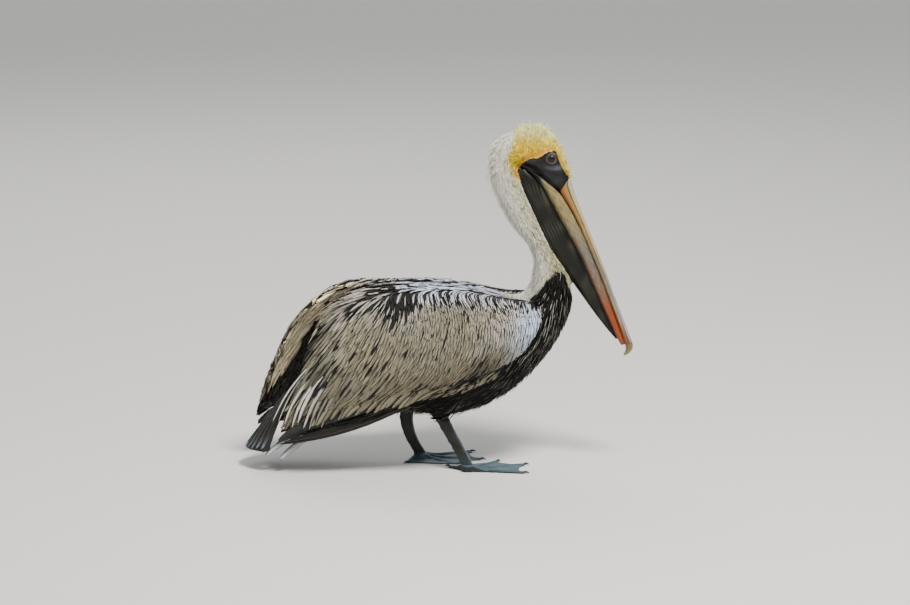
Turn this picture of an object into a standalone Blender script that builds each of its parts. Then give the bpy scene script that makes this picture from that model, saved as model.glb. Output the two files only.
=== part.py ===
"""A brown pelican standing on both feet, life size, as a still museum model.

Metres, +Z up. The bird faces +X, its right side faces -Y, and both soles are flat on z = 0.
Each named part of the body is one closed solid, out to the tips of its plumage, and
neighbouring parts meet across a gap of GAP. Run it with blender --background --python part.py.
"""

import math

import bmesh
import bpy
from mathutils import Vector

GAP = 0.0003  # clearance between neighbouring solids
CUT_GROW = 0.0004  # how far a cutter stands proud of the solid that it clears

# Ribs of the trunk, neck and head, from the tail end to the bill base. Each row holds the
# dorsal point (x, z), the ventral point (x, z), the half width, the height of the widest
# level as a share of the rib (0 ventral, 1 dorsal) and how boxy the ventral half is (0 to 1).
TRUNK_RIBS = [
    (-0.250, 0.141, -0.238, 0.117, 0.022, 0.50, 0.0),
    (-0.204, 0.196, -0.182, 0.107, 0.042, 0.55, 0.0),
    (-0.148, 0.252, -0.116, 0.097, 0.066, 0.55, 0.0),
    (-0.074, 0.291, -0.050, 0.091, 0.084, 0.55, 0.0),
    (0.008, 0.303, 0.025, 0.089, 0.090, 0.55, 0.0),
    (0.082, 0.297, 0.093, 0.113, 0.086, 0.55, 0.0),
    (0.121, 0.291, 0.150, 0.158, 0.072, 0.52, 0.0),
    (0.140, 0.297, 0.192, 0.210, 0.056, 0.50, 0.0),
    (0.149, 0.310, 0.215, 0.260, 0.043, 0.50, 0.0),
]
NECK_RIBS = [
    (0.153, 0.327, 0.218, 0.302, 0.035, 0.5, 0.0),
    (0.1545, 0.347, 0.204, 0.334, 0.0285, 0.5, 0.0),
    (0.143, 0.376, 0.183, 0.365, 0.0250, 0.5, 0.0),
    (0.119, 0.404, 0.164, 0.405, 0.0250, 0.5, 0.0),
    (0.0985, 0.440, 0.148, 0.442, 0.0255, 0.5, 0.0),
    (0.084, 0.479, 0.134, 0.477, 0.0265, 0.5, 0.0),
]
HEAD_RIBS = [
    (0.080, 0.517, 0.130, 0.496, 0.0275, 0.5, 0.0),
    (0.090, 0.549, 0.131, 0.503, 0.0285, 0.5, 0.2),
    (0.111, 0.567, 0.136, 0.507, 0.0285, 0.5, 0.4),
    (0.141, 0.576, 0.145, 0.505, 0.0275, 0.5, 0.6),
    (0.169, 0.574, 0.155, 0.500, 0.0260, 0.5, 0.8),
    (0.190, 0.559, 0.167, 0.490, 0.0240, 0.5, 0.9),
    (0.203, 0.534, 0.178, 0.480, 0.0215, 0.5, 1.0),
    (0.210, 0.509, 0.188, 0.471, 0.0190, 0.5, 1.0),
    (0.213, 0.489, 0.196, 0.465, 0.0175, 0.5, 1.0),
]
BODY_RIBS = TRUNK_RIBS + NECK_RIBS + HEAD_RIBS
NECK_START = len(TRUNK_RIBS) - 1
NECK_MIDDLE = NECK_START + 3
HEAD_START = NECK_START + len(NECK_RIBS)
HEAD_END = len(BODY_RIBS) - 1

# The bill has its own plane: u runs from the forehead to the tip, n from the culmen to the
# throat. Ribs hold the upper point (u, n), the lower point (u, n) and the half width.
BILL_BASE = Vector((0.2112, 0.0, 0.4872))
BILL_PITCH = math.radians(70.0)  # how far the bill points below the horizon
UPPER_BILL_RIBS = [
    (-0.0003, -0.0022, 0.0168, 0.0218, 0.0172),
    (0.030, 0.0004, 0.036, 0.0180, 0.0165),
    (0.067, -0.0003, 0.067, 0.0124, 0.0150),
    (0.110, -0.0018, 0.110, 0.0099, 0.0140),
    (0.160, -0.0033, 0.160, 0.0074, 0.0135),
    (0.216, -0.0036, 0.216, 0.0064, 0.0135),
    (0.270, -0.0045, 0.270, 0.0068, 0.0120),
    (0.297, -0.0050, 0.297, 0.0077, 0.0080),
]
NAIL_RIBS = [
    (0.2973, -0.0050, 0.2973, 0.0077, 0.0078),
    (0.3050, -0.0042, 0.3030, 0.0085, 0.0066),
    (0.3115, 0.0010, 0.3062, 0.0098, 0.0048),
    (0.3148, 0.0090, 0.3100, 0.0125, 0.0028),
    (0.3150, 0.0150, 0.3128, 0.0158, 0.0010),
]
LOWER_BILL_RIBS = [
    (-0.038, 0.0575, -0.039, 0.0600, 0.0185),
    (-0.020, 0.0452, -0.024, 0.0510, 0.0190),
    (0.006, 0.0310, -0.006, 0.0460, 0.0185),
    (0.034, 0.0192, 0.037, 0.0400, 0.0170),
    (0.094, 0.0112, 0.094, 0.0320, 0.0150),
    (0.130, 0.0096, 0.130, 0.0265, 0.0140),
    (0.190, 0.0073, 0.190, 0.0235, 0.0130),
    (0.245, 0.0072, 0.245, 0.0196, 0.0120),
    (0.280, 0.0076, 0.280, 0.0166, 0.0095),
    (0.2965, 0.0082, 0.2955, 0.0142, 0.0055),
]
POUCH_RIBS = [
    (-0.040, 0.0615, -0.038, 0.0750, 0.0130),
    (-0.024, 0.0515, -0.022, 0.0795, 0.0170),
    (-0.005, 0.0465, 0.010, 0.0785, 0.0172),
    (0.037, 0.0405, 0.046, 0.0752, 0.0160),
    (0.094, 0.0325, 0.100, 0.0710, 0.0140),
    (0.130, 0.0270, 0.138, 0.0615, 0.0125),
    (0.190, 0.0240, 0.190, 0.0480, 0.0110),
    (0.245, 0.0202, 0.245, 0.0325, 0.0085),
    (0.284, 0.0165, 0.284, 0.0185, 0.0040),
]

EYE_RADIUS = 0.0080
EYE_PLACE = Vector((0.1822, 0.0184, 0.5205))  # of the left eye

# Ribs of the right folded wing, from the wrist to the longest tertials. Each row holds the
# top edge (x, y, z), the y of the bulge between the edges, the bottom edge (x, y, z) and the
# depth of the layer of plumage at its middle.
WING_RIBS = [
    (0.168, -0.052, 0.276, -0.062, 0.170, -0.058, 0.265, 0.006),
    (0.150, -0.040, 0.292, -0.083, 0.161, -0.070, 0.238, 0.028),
    (0.107, -0.032, 0.296, -0.097, 0.129, -0.079, 0.198, 0.036),
    (0.041, -0.024, 0.311, -0.105, 0.063, -0.085, 0.166, 0.036),
    (-0.025, -0.019, 0.317, -0.106, -0.008, -0.087, 0.142, 0.036),
    (-0.091, -0.016, 0.316, -0.102, -0.079, -0.087, 0.130, 0.036),
    (-0.146, -0.013, 0.302, -0.094, -0.145, -0.083, 0.114, 0.034),
    (-0.182, -0.011, 0.277, -0.084, -0.190, -0.078, 0.105, 0.026),
    (-0.204, -0.011, 0.236, -0.074, -0.223, -0.071, 0.091, 0.016),
    (-0.224, -0.018, 0.178, -0.064, -0.246, -0.063, 0.077, 0.009),
    (-0.246, -0.039, 0.118, -0.058, -0.260, -0.057, 0.071, 0.004),
]
# How far each row of the left wing lies further back, and how far its top edge lies higher.
LEFT_WING_SHIFTS = [(0.0, 0.0)] * 5 + [
    (0.000, 0.001), (0.011, 0.013), (0.034, 0.001), (0.045, -0.003), (0.049, -0.003), (0.047, 0.002)
]
WING_TOP_DEPTH = 0.016  # how far the layer reaches down inside the top edge
WING_CUT = 6.4  # where the coverts end and the tertials start, counted in ribs

# Blades of the folded primaries of the right wing: x, y, upper z, lower z, half thickness.
PRIMARY_RIBS = [
    (-0.050, -0.078, 0.134, 0.112, 0.0020),
    (-0.100, -0.078, 0.130, 0.101, 0.0035),
    (-0.150, -0.076, 0.117, 0.088, 0.0040),
    (-0.213, -0.071, 0.097, 0.071, 0.0035),
    (-0.248, -0.068, 0.078, 0.060, 0.0025),
    (-0.266, -0.066, 0.060, 0.053, 0.0012),
]
LEFT_PRIMARY_TRAIL = 0.040  # how much further back the tips of the left ones lie

TAIL_PITCH = math.radians(51.0)  # how far the tail points below the horizon
TAIL_LENGTH = 0.124
TAIL_HALF_WIDTH_BASE, TAIL_HALF_WIDTH_TIP = 0.020, 0.056
TAIL_DEPTH_BASE, TAIL_DEPTH_TIP = 0.0060, 0.0009  # half thicknesses
TAIL_ARCH = 0.030  # how far the outer feathers hang below the middle ones
TAIL_ROUNDING = 0.026  # how much shorter the outer feathers are
TAIL_FEATHERS = 9  # feather tips along the end of the fan
TAIL_NOTCH = 0.005

THIGH_TOP_RADIUS, THIGH_END_RADIUS = 0.030, 0.0125
LEG_SIDES = 12
# The path of each shank from the feathered thigh to the foot: x, distance from the median
# plane, z and half the depth fore and aft.
RIGHT_SHANK = [
    (0.003, 0.038, 0.090, 0.0108),
    (0.014, 0.039, 0.068, 0.0100),
    (0.030, 0.041, 0.040, 0.0093),
    (0.045, 0.043, 0.0108, 0.0100),
]
LEFT_SHANK = [
    (-0.055, 0.038, 0.090, 0.0108),
    (-0.056, 0.039, 0.064, 0.0105),
    (-0.048, 0.041, 0.036, 0.0093),
    (-0.034, 0.043, 0.0108, 0.0100),
]
SHANK_HALF_WIDTH = 0.0062

# Toes of a foot: angle from the foot's own heading, counted inwards in degrees, and length.
TOES = {
    "outer": (-10.0, 0.094),
    "middle": (22.0, 0.101),
    "inner": (50.0, 0.076),
    "hind": (140.0, 0.040),
}
RIGHT_FOOT_TURN, LEFT_FOOT_TURN = 0.0, -16.0  # heading of each foot, degrees inwards
TOE_HALF_WIDTH = 0.0042
TOE_HEIGHT = 0.0062
WEB_THICKNESS = 0.0016
WEB_SCALLOP = 0.16  # how far the web's edge curves in between two toes a radian apart
ANKLE_PAD_RADIUS, ANKLE_PAD_HEIGHT = 0.0115, 0.0102
CLAW_LENGTH, CLAW_RADIUS = 0.0095, 0.0024


def clear_scene():
    for thing in list(bpy.data.objects):
        bpy.data.objects.remove(thing, do_unlink=True)


def material(name, colour, roughness, metallic=0.0):
    made = bpy.data.materials.new(name)
    made.use_nodes = True
    shader = made.node_tree.nodes["Principled BSDF"]
    shader.inputs["Base Color"].default_value = (*colour, 1.0)
    shader.inputs["Roughness"].default_value = roughness
    shader.inputs["Metallic"].default_value = metallic
    return made


def between(a, b, share):
    return a + (b - a) * share


def ease(value, low, high):
    """0 below low, 1 above high and a smooth rise in between."""
    share = min(max((value - low) / (high - low), 0.0), 1.0)
    return share * share * (3.0 - 2.0 * share)


def along(rows, place):
    """The row at a fractional place in a list of rows, on a Catmull-Rom curve."""
    first = min(max(int(math.floor(place)), 0), len(rows) - 2)
    t = place - first
    picks = [rows[min(max(first + step, 0), len(rows) - 1)] for step in (-1, 0, 1, 2)]
    return [
        0.5 * (2 * b + (c - a) * t + (2 * a - 5 * b + 4 * c - d) * t * t
               + (3 * b - a - 3 * c + d) * t * t * t)
        for a, b, c, d in zip(*picks)
    ]


def places(start, end, count):
    return [between(start, end, i / (count - 1)) for i in range(count)]


def solid(name, rings, skin):
    """One closed mesh through rings of equal length, with its ends filled."""
    mesh = bpy.data.meshes.new(name)
    shape = bmesh.new()
    origin = sum((Vector(p) for p in rings[0]), Vector()) / len(rings[0])
    loops = [[shape.verts.new(Vector(p) - origin) for p in ring] for ring in rings]
    count = len(rings[0])
    for near, far in zip(loops, loops[1:]):
        for k in range(count):
            after = (k + 1) % count
            shape.faces.new((near[k], near[after], far[after], far[k]))
    shape.faces.new(loops[0])
    shape.faces.new(loops[-1])
    bmesh.ops.recalc_face_normals(shape, faces=shape.faces)
    shape.to_mesh(mesh)
    shape.free()
    made = bpy.data.objects.new(name, mesh)
    made.location = origin
    mesh.shade_smooth()
    mesh.set_sharp_from_angle(angle=math.radians(50))
    if skin:
        mesh.materials.append(skin)
    bpy.context.scene.collection.objects.link(made)
    return made


def cutter(made):
    made.hide_render = True
    made.display_type = "WIRE"
    return made


def cut(made, *tools):
    """Takes the cutters away from a solid."""
    for tool in tools:
        step = made.modifiers.new("clear_" + tool.name, "BOOLEAN")
        step.operation = "DIFFERENCE"
        step.solver = "EXACT"
        step.object = tool


# ---------------------------------------------------------------- trunk, neck and head


def rib_ring(row, sides, grow=0.0):
    """An oval ring in the plane of one rib."""
    dorsal = Vector((row[0], 0.0, row[1]))
    ventral = Vector((row[2], 0.0, row[3]))
    half_width, level, boxy = row[4] + grow, row[5], row[6]
    upward = (dorsal - ventral).normalized()
    centre = ventral.lerp(dorsal, level)
    upper = (dorsal - centre).length + grow
    lower = (centre - ventral).length + grow
    ring = []
    for k in range(sides):
        turn = math.tau * k / sides
        rise, out = math.cos(turn), math.sin(turn)
        if rise < 0:
            out = math.copysign(abs(out) ** between(1.0, 0.45, boxy), out)
        height = upper * rise if rise > 0 else lower * rise
        ring.append(centre + upward * height + Vector((0, half_width * out, 0)))
    return ring


def moved_along(ring, forward, distance):
    return [point + forward * distance for point in ring]


def rib_forward(row):
    """The direction across a rib's plane, towards the bill."""
    upward = Vector((row[0] - row[2], 0.0, row[1] - row[3])).normalized()
    return Vector((upward.z, 0.0, -upward.x))


def body_rings(start, end, rows, sides, grow=0.0):
    """Rings of the body between two ribs, each end set back by half a gap."""
    rings = [rib_ring(along(BODY_RIBS, p), sides, grow) for p in places(start, end, rows)]
    inset = GAP / 2 - grow
    rings[0] = moved_along(rings[0], rib_forward(along(BODY_RIBS, start)), inset)
    rings[-1] = moved_along(rings[-1], rib_forward(along(BODY_RIBS, end)), -inset)
    return rings


# ---------------------------------------------------------------- bill and pouch


def bill_point(u, n, y=0.0):
    forward = Vector((math.cos(BILL_PITCH), 0.0, -math.sin(BILL_PITCH)))
    throatward = Vector((-math.sin(BILL_PITCH), 0.0, -math.cos(BILL_PITCH)))
    return BILL_BASE + forward * u + throatward * n + Vector((0, y, 0))


def bill_rings(ribs, rows, sides, upper_power, lower_power, grow=0.0):
    """Rings along the bill. A power of 1 is round, and a smaller one is boxier."""
    rings = []
    for place in places(0, len(ribs) - 1, rows):
        u0, n0, u1, n1, half_width = along(ribs, place)
        end = ease(place, 0, 0.01) - ease(place, len(ribs) - 1.01, len(ribs) - 1)
        shift = grow * (end - 1 if place < 1 else 1 - end)
        middle_u, middle_n = (u0 + u1) / 2 + shift, (n0 + n1) / 2
        half_u, half_n = (u1 - u0) / 2, (n1 - n0) / 2 + grow
        ring = []
        for k in range(sides):
            turn = math.tau * k / sides
            rise, out = math.cos(turn), math.sin(turn)
            power = upper_power if rise > 0 else lower_power
            out = math.copysign(abs(out) ** power, out)
            ring.append(bill_point(middle_u - half_u * rise, middle_n - half_n * rise,
                                   (half_width + grow) * out))
        rings.append(ring)
    return rings


# ---------------------------------------------------------------- wings


def wing_row(place, shifts):
    row = along(WING_RIBS, place)
    if shifts:
        back, lift = along(shifts, place)
        row[0] -= back
        row[2] += lift
        row[4] -= back
    return row


def arc(top, middle, bottom, share):
    """A parabola through three points, from the top at 0 to the bottom at 1."""
    bend = middle * 2 - (top + bottom) / 2
    return top * (1 - share) ** 2 + bend * 2 * share * (1 - share) + bottom * share**2


def wing_rings(start, end, rows, side, shifts, grow=0.0):
    """Rings of a folded wing: its outer face from top to bottom, then its inner face."""
    steps = 8
    rings = []
    for place in places(start, end, rows):
        x0, y0, z0, bulge, x1, y1, z1, depth = wing_row(place, shifts)
        top, bottom = Vector((x0, y0 - grow, z0 + grow)), Vector((x1, y1 - grow, z1 - grow))
        middle = Vector(((x0 + x1) / 2, bulge - grow, (z0 + z1) / 2))
        thin = min(1.0, depth / 0.03)
        inner_top = Vector((x0, y0 + 0.004 * thin + grow + 0.001, z0 - WING_TOP_DEPTH * thin))
        inner_bottom = Vector((x1, y1 + 0.003 + grow, z1 + 0.002 * thin - grow))
        inner_middle = middle + Vector((0.0, depth + 2 * grow, 0.0))
        outer = [arc(top, middle, bottom, i / steps) for i in range(steps + 1)]
        inner = [arc(inner_bottom, inner_middle, inner_top, i / steps) for i in range(steps + 1)]
        rings.append([Vector((p.x, p.y * -side, p.z)) for p in outer + inner])
    backward = Vector((-1.0, 0.0, 0.0))
    rings[0] = moved_along(rings[0], backward, GAP / 2 - grow)
    rings[-1] = moved_along(rings[-1], backward, grow - GAP / 2)
    return rings


def primary_rings(side, trail):
    rings = []
    for place in places(0, len(PRIMARY_RIBS) - 1, 12):
        x, y, high, low, thick = along(PRIMARY_RIBS, place)
        x -= trail * ease(place, 1.0, 4.0)
        middle, half = (high + low) / 2, (high - low) / 2
        rings.append([
            Vector((x, -side * (y + thick * math.sin(turn)), middle + half * math.cos(turn)))
            for turn in (math.tau * k / 8 for k in range(8))
        ])
    return rings


def make_wing(word, side, shifts, trail, trunk_tool, tail_tool, skins):
    """The coverts, tertials and primaries of one folded wing. Side is -1 right, 1 left."""
    last = len(WING_RIBS) - 1
    coverts = solid(f"wing_{word}_coverts", wing_rings(0, WING_CUT, 15, side, shifts), skins["silver"])
    tertials = solid(f"wing_{word}_tertials", wing_rings(WING_CUT, last, 9, side, shifts), skins["silver"])
    primaries = solid(f"wing_{word}_primaries", primary_rings(side, trail), skins["black"])
    wing_tool = cutter(solid(f"{word}_wing_tool", wing_rings(0, last, 25, side, shifts, CUT_GROW), None))
    cut(coverts, trunk_tool)
    cut(tertials, trunk_tool, tail_tool)
    cut(primaries, wing_tool, trunk_tool)
    return [coverts, tertials, primaries]


# ---------------------------------------------------------------- tail


def tail_rings(grow=0.0):
    """Rings across the fan, from its root to the scalloped feather tips."""
    root = Vector((-0.2452, 0.0, 0.1290))
    back = Vector((-math.cos(TAIL_PITCH), 0.0, -math.sin(TAIL_PITCH)))
    above = Vector((-math.sin(TAIL_PITCH), 0.0, math.cos(TAIL_PITCH)))
    columns, rows = TAIL_FEATHERS * 2, 7
    rings = []
    for i in range(rows):
        share = i / (rows - 1)
        half_width = between(TAIL_HALF_WIDTH_BASE, TAIL_HALF_WIDTH_TIP, share**0.8) + grow
        depth = between(TAIL_DEPTH_BASE, TAIL_DEPTH_TIP, share**0.7) + grow
        upper, lower = [], []
        for k in range(columns + 1):
            across = 2 * k / columns - 1
            notch = TAIL_NOTCH * (1 - k % 2) * ease(share, 0.8, 1.0)
            reach = TAIL_LENGTH * share - TAIL_ROUNDING * across**2 * share**2 - notch + grow * 2 * share
            edge = math.sqrt(max(1 - across**2, 0.04))
            sag = TAIL_ARCH * across**2 * share
            middle = root + back * (reach - 0.9 * grow) + Vector((0, half_width * across, 0)) - above * sag
            upper.append(middle + above * depth * edge)
            lower.append(middle - above * depth * edge)
        rings.append(upper + lower[::-1])
    return rings


# ---------------------------------------------------------------- legs and feet


def shank_rings(path, side):
    rings = []
    for place in places(0, len(path) - 1, 8):
        x, y, z, half_depth = along(path, place)
        rings.append([
            Vector((x + half_depth * math.cos(turn), side * y + SHANK_HALF_WIDTH * math.sin(turn), z))
            for turn in (math.tau * k / LEG_SIDES for k in range(LEG_SIDES))
        ])
    return rings


def thigh_rings(path, side):
    """A feathered cone from inside the belly down to the top of the shank."""
    end_x, end_y, end_z = path[0][0], side * path[0][1], path[0][2] + GAP
    rings = []
    for share in (0.0, 0.3, 0.6, 0.85, 1.0):
        radius = between(THIGH_TOP_RADIUS, THIGH_END_RADIUS, share**1.4)
        centre = Vector((between(end_x + 0.004, end_x, share), between(end_y * 1.15, end_y, share),
                         between(end_z + 0.034, end_z, share)))
        rings.append([
            centre + Vector((radius * math.cos(turn), radius * 0.8 * math.sin(turn), 0.0))
            for turn in (math.tau * k / LEG_SIDES for k in range(LEG_SIDES))
        ])
    return rings


def web_reach(turn):
    """How far the foot's outline lies from the ankle at an angle, in radians inwards."""
    reach = ANKLE_PAD_RADIUS
    toes = sorted((math.radians(angle), length) for angle, length in TOES.values())
    for angle, length in toes:
        off = abs(turn - angle)
        if off < math.pi / 2:
            reach = max(reach, min(length, TOE_HALF_WIDTH / max(math.sin(off), 1e-6)))
    for (a, long_a), (b, long_b) in zip(toes, toes[1:]):
        if a < turn < b:
            share = (turn - a) / (b - a)
            scallop = 1 - WEB_SCALLOP * (b - a) ** 1.6 * 4 * share * (1 - share)
            reach = max(reach, between(long_a, long_b, share) * scallop * 0.93)
    return reach


def toe_height(x, y):
    """Height of the foot's upper face: web, toes and the pad under the shank."""
    height = WEB_THICKNESS
    for angle, length in TOES.values():
        turn = math.radians(angle)
        along_toe = x * math.cos(turn) + y * math.sin(turn)
        off = abs(y * math.cos(turn) - x * math.sin(turn))
        if along_toe > 0 and off < TOE_HALF_WIDTH:
            taper = between(1.0, 0.62, min(along_toe / length, 1.0))
            height = max(height, TOE_HEIGHT * taper * math.sqrt(1 - (off / TOE_HALF_WIDTH) ** 2))
    pad = 1 - ease(math.hypot(x, y), ANKLE_PAD_RADIUS * 0.9, ANKLE_PAD_RADIUS * 2.1)
    return between(height, ANKLE_PAD_HEIGHT, pad)


def make_foot(word, side, ankle, heading, skin):
    """A webbed foot with a flat sole on z = 0, as a height over angles and distances."""
    turns = set()
    for angle, _ in TOES.values():
        turns.update(angle + off for off in (-15, -6.5, -2.4, 0, 2.4, 6.5, 15))
    turns.update(range(165, 345, 30))
    turns.update((72, 90, 108))
    turns = sorted(turn for turn in turns if -22 <= turn < 338)
    shares = (0.07, 0.15, 0.26, 0.42, 0.62, 0.82, 1.0)
    shape = bmesh.new()

    def corner(turn, share, height):
        angle = math.radians(turn)
        reach = web_reach(angle) * share
        x, y = reach * math.cos(angle), reach * math.sin(angle)
        z = toe_height(x, y) if height is None else height
        return shape.verts.new((x, -side * y, z))

    loops = [[corner(turn, share, None) for turn in turns] for share in shares]
    loops.append([corner(turn, 1.0, 0.0) for turn in turns])
    count = len(turns)
    for near, far in zip(loops, loops[1:]):
        for k in range(count):
            after = (k + 1) % count
            shape.faces.new((near[k], near[after], far[after], far[k]))
    shape.faces.new(loops[0])
    shape.faces.new(loops[-1])
    bmesh.ops.recalc_face_normals(shape, faces=shape.faces)
    mesh = bpy.data.meshes.new(f"foot_{word}")
    shape.to_mesh(mesh)
    shape.free()
    mesh.shade_smooth()
    mesh.materials.append(skin)
    made = bpy.data.objects.new(f"foot_{word}", mesh)
    made.location = ankle
    made.rotation_euler = (0.0, 0.0, -side * math.radians(heading))
    bpy.context.scene.collection.objects.link(made)
    return made


def make_claws(word, side, ankle, heading, skin):
    """A short hooked claw in front of each toe, clear of the toe and of the floor."""
    claws = []
    for toe, (angle, length) in TOES.items():
        turn = math.radians(angle + heading)
        out = Vector((math.cos(turn), -side * math.sin(turn), 0.0))
        across = Vector((-out.y, out.x, 0.0))
        rings = []
        for share in (0.0, 0.35, 0.7, 1.0):
            radius = CLAW_RADIUS * (1 - share) ** 0.7 + 0.0004
            height = 0.0006 + radius * 0.8 + 0.0008 * math.sin(math.pi * share)
            centre = ankle + Vector((0, 0, height)) + out * (length + GAP + CLAW_LENGTH * share)
            rings.append([
                centre + across * radius * 0.75 * math.cos(t) + Vector((0, 0, radius * 0.8 * math.sin(t)))
                for t in (math.tau * k / 8 for k in range(8))
            ])
        claws.append(solid(f"claw_{word}_{toe}", rings, skin))
    return claws


def make_leg(word, side, path, heading, trunk_tool, skins):
    ankle = Vector((path[-1][0] + 0.001, side * path[-1][1], 0.0))
    thigh = solid(f"thigh_{word}", thigh_rings(path, side), skins["black"])
    cut(thigh, trunk_tool)
    shank = solid(f"shank_{word}", shank_rings(path, side), skins["leg"])
    foot = make_foot(word, side, ankle, heading, skins["leg"])
    return [thigh, shank, foot] + make_claws(word, side, ankle, heading, skins["claw"])


# ---------------------------------------------------------------- eyes


def make_eye(word, side, skin):
    """An eyeball and the slightly larger ball that clears its socket."""
    balls = []
    for name, radius in ((f"eye_{word}", EYE_RADIUS), (f"{word}_socket_tool", EYE_RADIUS + CUT_GROW)):
        mesh = bpy.data.meshes.new(name)
        shape = bmesh.new()
        bmesh.ops.create_uvsphere(shape, u_segments=12, v_segments=8, radius=radius)
        shape.to_mesh(mesh)
        shape.free()
        mesh.shade_smooth()
        mesh.materials.append(skin)
        made = bpy.data.objects.new(name, mesh)
        made.location = (EYE_PLACE.x, EYE_PLACE.y * side, EYE_PLACE.z)
        made.rotation_euler = (math.radians(90), 0.0, 0.0)
        bpy.context.scene.collection.objects.link(made)
        balls.append(made)
    return balls[0], cutter(balls[1])


def centre_on_origin(parts):
    """Hangs the parts from one empty, which centres their box over the origin."""
    bpy.context.view_layer.update()
    graph = bpy.context.evaluated_depsgraph_get()
    corners = [
        part.matrix_world @ Vector(corner)
        for part in parts
        for corner in part.evaluated_get(graph).bound_box
    ]
    root = bpy.data.objects.new("pelican", None)
    root.location = (
        -(min(c.x for c in corners) + max(c.x for c in corners)) / 2,
        -(min(c.y for c in corners) + max(c.y for c in corners)) / 2,
        0.0,
    )
    bpy.context.scene.collection.objects.link(root)
    for thing in bpy.context.scene.objects:
        if thing is not root:
            thing.parent = root


def main():
    clear_scene()
    skins = {
        "silver": material("silver_plumage", (0.42, 0.40, 0.36), 0.75),
        "black": material("black_plumage", (0.020, 0.017, 0.015), 0.7),
        "white": material("white_plumage", (0.78, 0.76, 0.70), 0.85),
        "yellow": material("yellow_crown", (0.80, 0.62, 0.14), 0.85),
        "tail": material("tail_plumage", (0.16, 0.16, 0.16), 0.7),
        "skin": material("bare_skin", (0.025, 0.026, 0.028), 0.5),
        "horn": material("bill_horn", (0.62, 0.50, 0.33), 0.4),
        "nail": material("bill_nail", (0.40, 0.42, 0.20), 0.35),
        "leg": material("leg_skin", (0.10, 0.12, 0.13), 0.5),
        "claw": material("claw_horn", (0.05, 0.05, 0.05), 0.4),
        "eye": material("eye", (0.03, 0.02, 0.015), 0.1),
    }
    trunk_tool = cutter(solid("trunk_tool", body_rings(0, NECK_START, 21, 24, CUT_GROW), None))
    tail_tool = cutter(solid("tail_tool", tail_rings(CUT_GROW), None))
    pouch_tool = cutter(solid("pouch_tool", bill_rings(POUCH_RIBS, 15, 12, 0.55, 0.9, CUT_GROW), None))
    jaw_tool = cutter(solid("jaw_tool", bill_rings(LOWER_BILL_RIBS, 17, 12, 0.5, 0.6, CUT_GROW), None))

    right_eye, right_socket = make_eye("right", -1, skins["eye"])
    left_eye, left_socket = make_eye("left", 1, skins["eye"])

    trunk = solid("trunk", body_rings(0, NECK_START, 21, 24), skins["black"])
    neck_lower = solid("neck_lower", body_rings(NECK_START, NECK_MIDDLE, 8, 18), skins["white"])
    neck_upper = solid("neck_upper", body_rings(NECK_MIDDLE, HEAD_START, 7, 18), skins["white"])
    head = solid("head", body_rings(HEAD_START, HEAD_END, 17, 18), skins["yellow"])
    pouch = solid("pouch", bill_rings(POUCH_RIBS, 15, 12, 0.55, 0.9), skins["skin"])
    bill = [
        solid("bill_upper", bill_rings(UPPER_BILL_RIBS, 15, 12, 0.8, 0.5), skins["horn"]),
        solid("bill_lower", bill_rings(LOWER_BILL_RIBS, 17, 12, 0.5, 0.6), skins["horn"]),
        solid("bill_nail", bill_rings(NAIL_RIBS, 8, 10, 0.9, 0.7), skins["nail"]),
    ]
    cut(head, jaw_tool, pouch_tool, right_socket, left_socket)
    cut(neck_upper, pouch_tool)
    cut(neck_lower, pouch_tool)

    tail = solid("tail", tail_rings(), skins["tail"])
    cut(tail, trunk_tool)
    parts = [trunk, neck_lower, neck_upper, head, pouch, tail, right_eye, left_eye] + bill
    parts += make_wing("right", -1, None, 0.0, trunk_tool, tail_tool, skins)
    parts += make_wing("left", 1, LEFT_WING_SHIFTS, LEFT_PRIMARY_TRAIL, trunk_tool, tail_tool, skins)
    parts += make_leg("right", -1, RIGHT_SHANK, RIGHT_FOOT_TURN, trunk_tool, skins)
    parts += make_leg("left", 1, LEFT_SHANK, LEFT_FOOT_TURN, trunk_tool, skins)
    centre_on_origin(parts)


main()
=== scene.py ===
"""The looks of a standing brown pelican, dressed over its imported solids.

Metres, +Z up. The bird faces +X and its right side faces -Y, towards the camera. One skin
replaces the solids of flesh and lies inside them by the depth of the coat. Feathers are closed
three-sided vanes that march over that skin along the lie of the coat. Bill, eyes and claws
are pieces of their own.
"""
import math

import bmesh
import bpy
import numpy as np
from mathutils import Matrix, Vector
from mathutils.bvhtree import BVHTree


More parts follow.
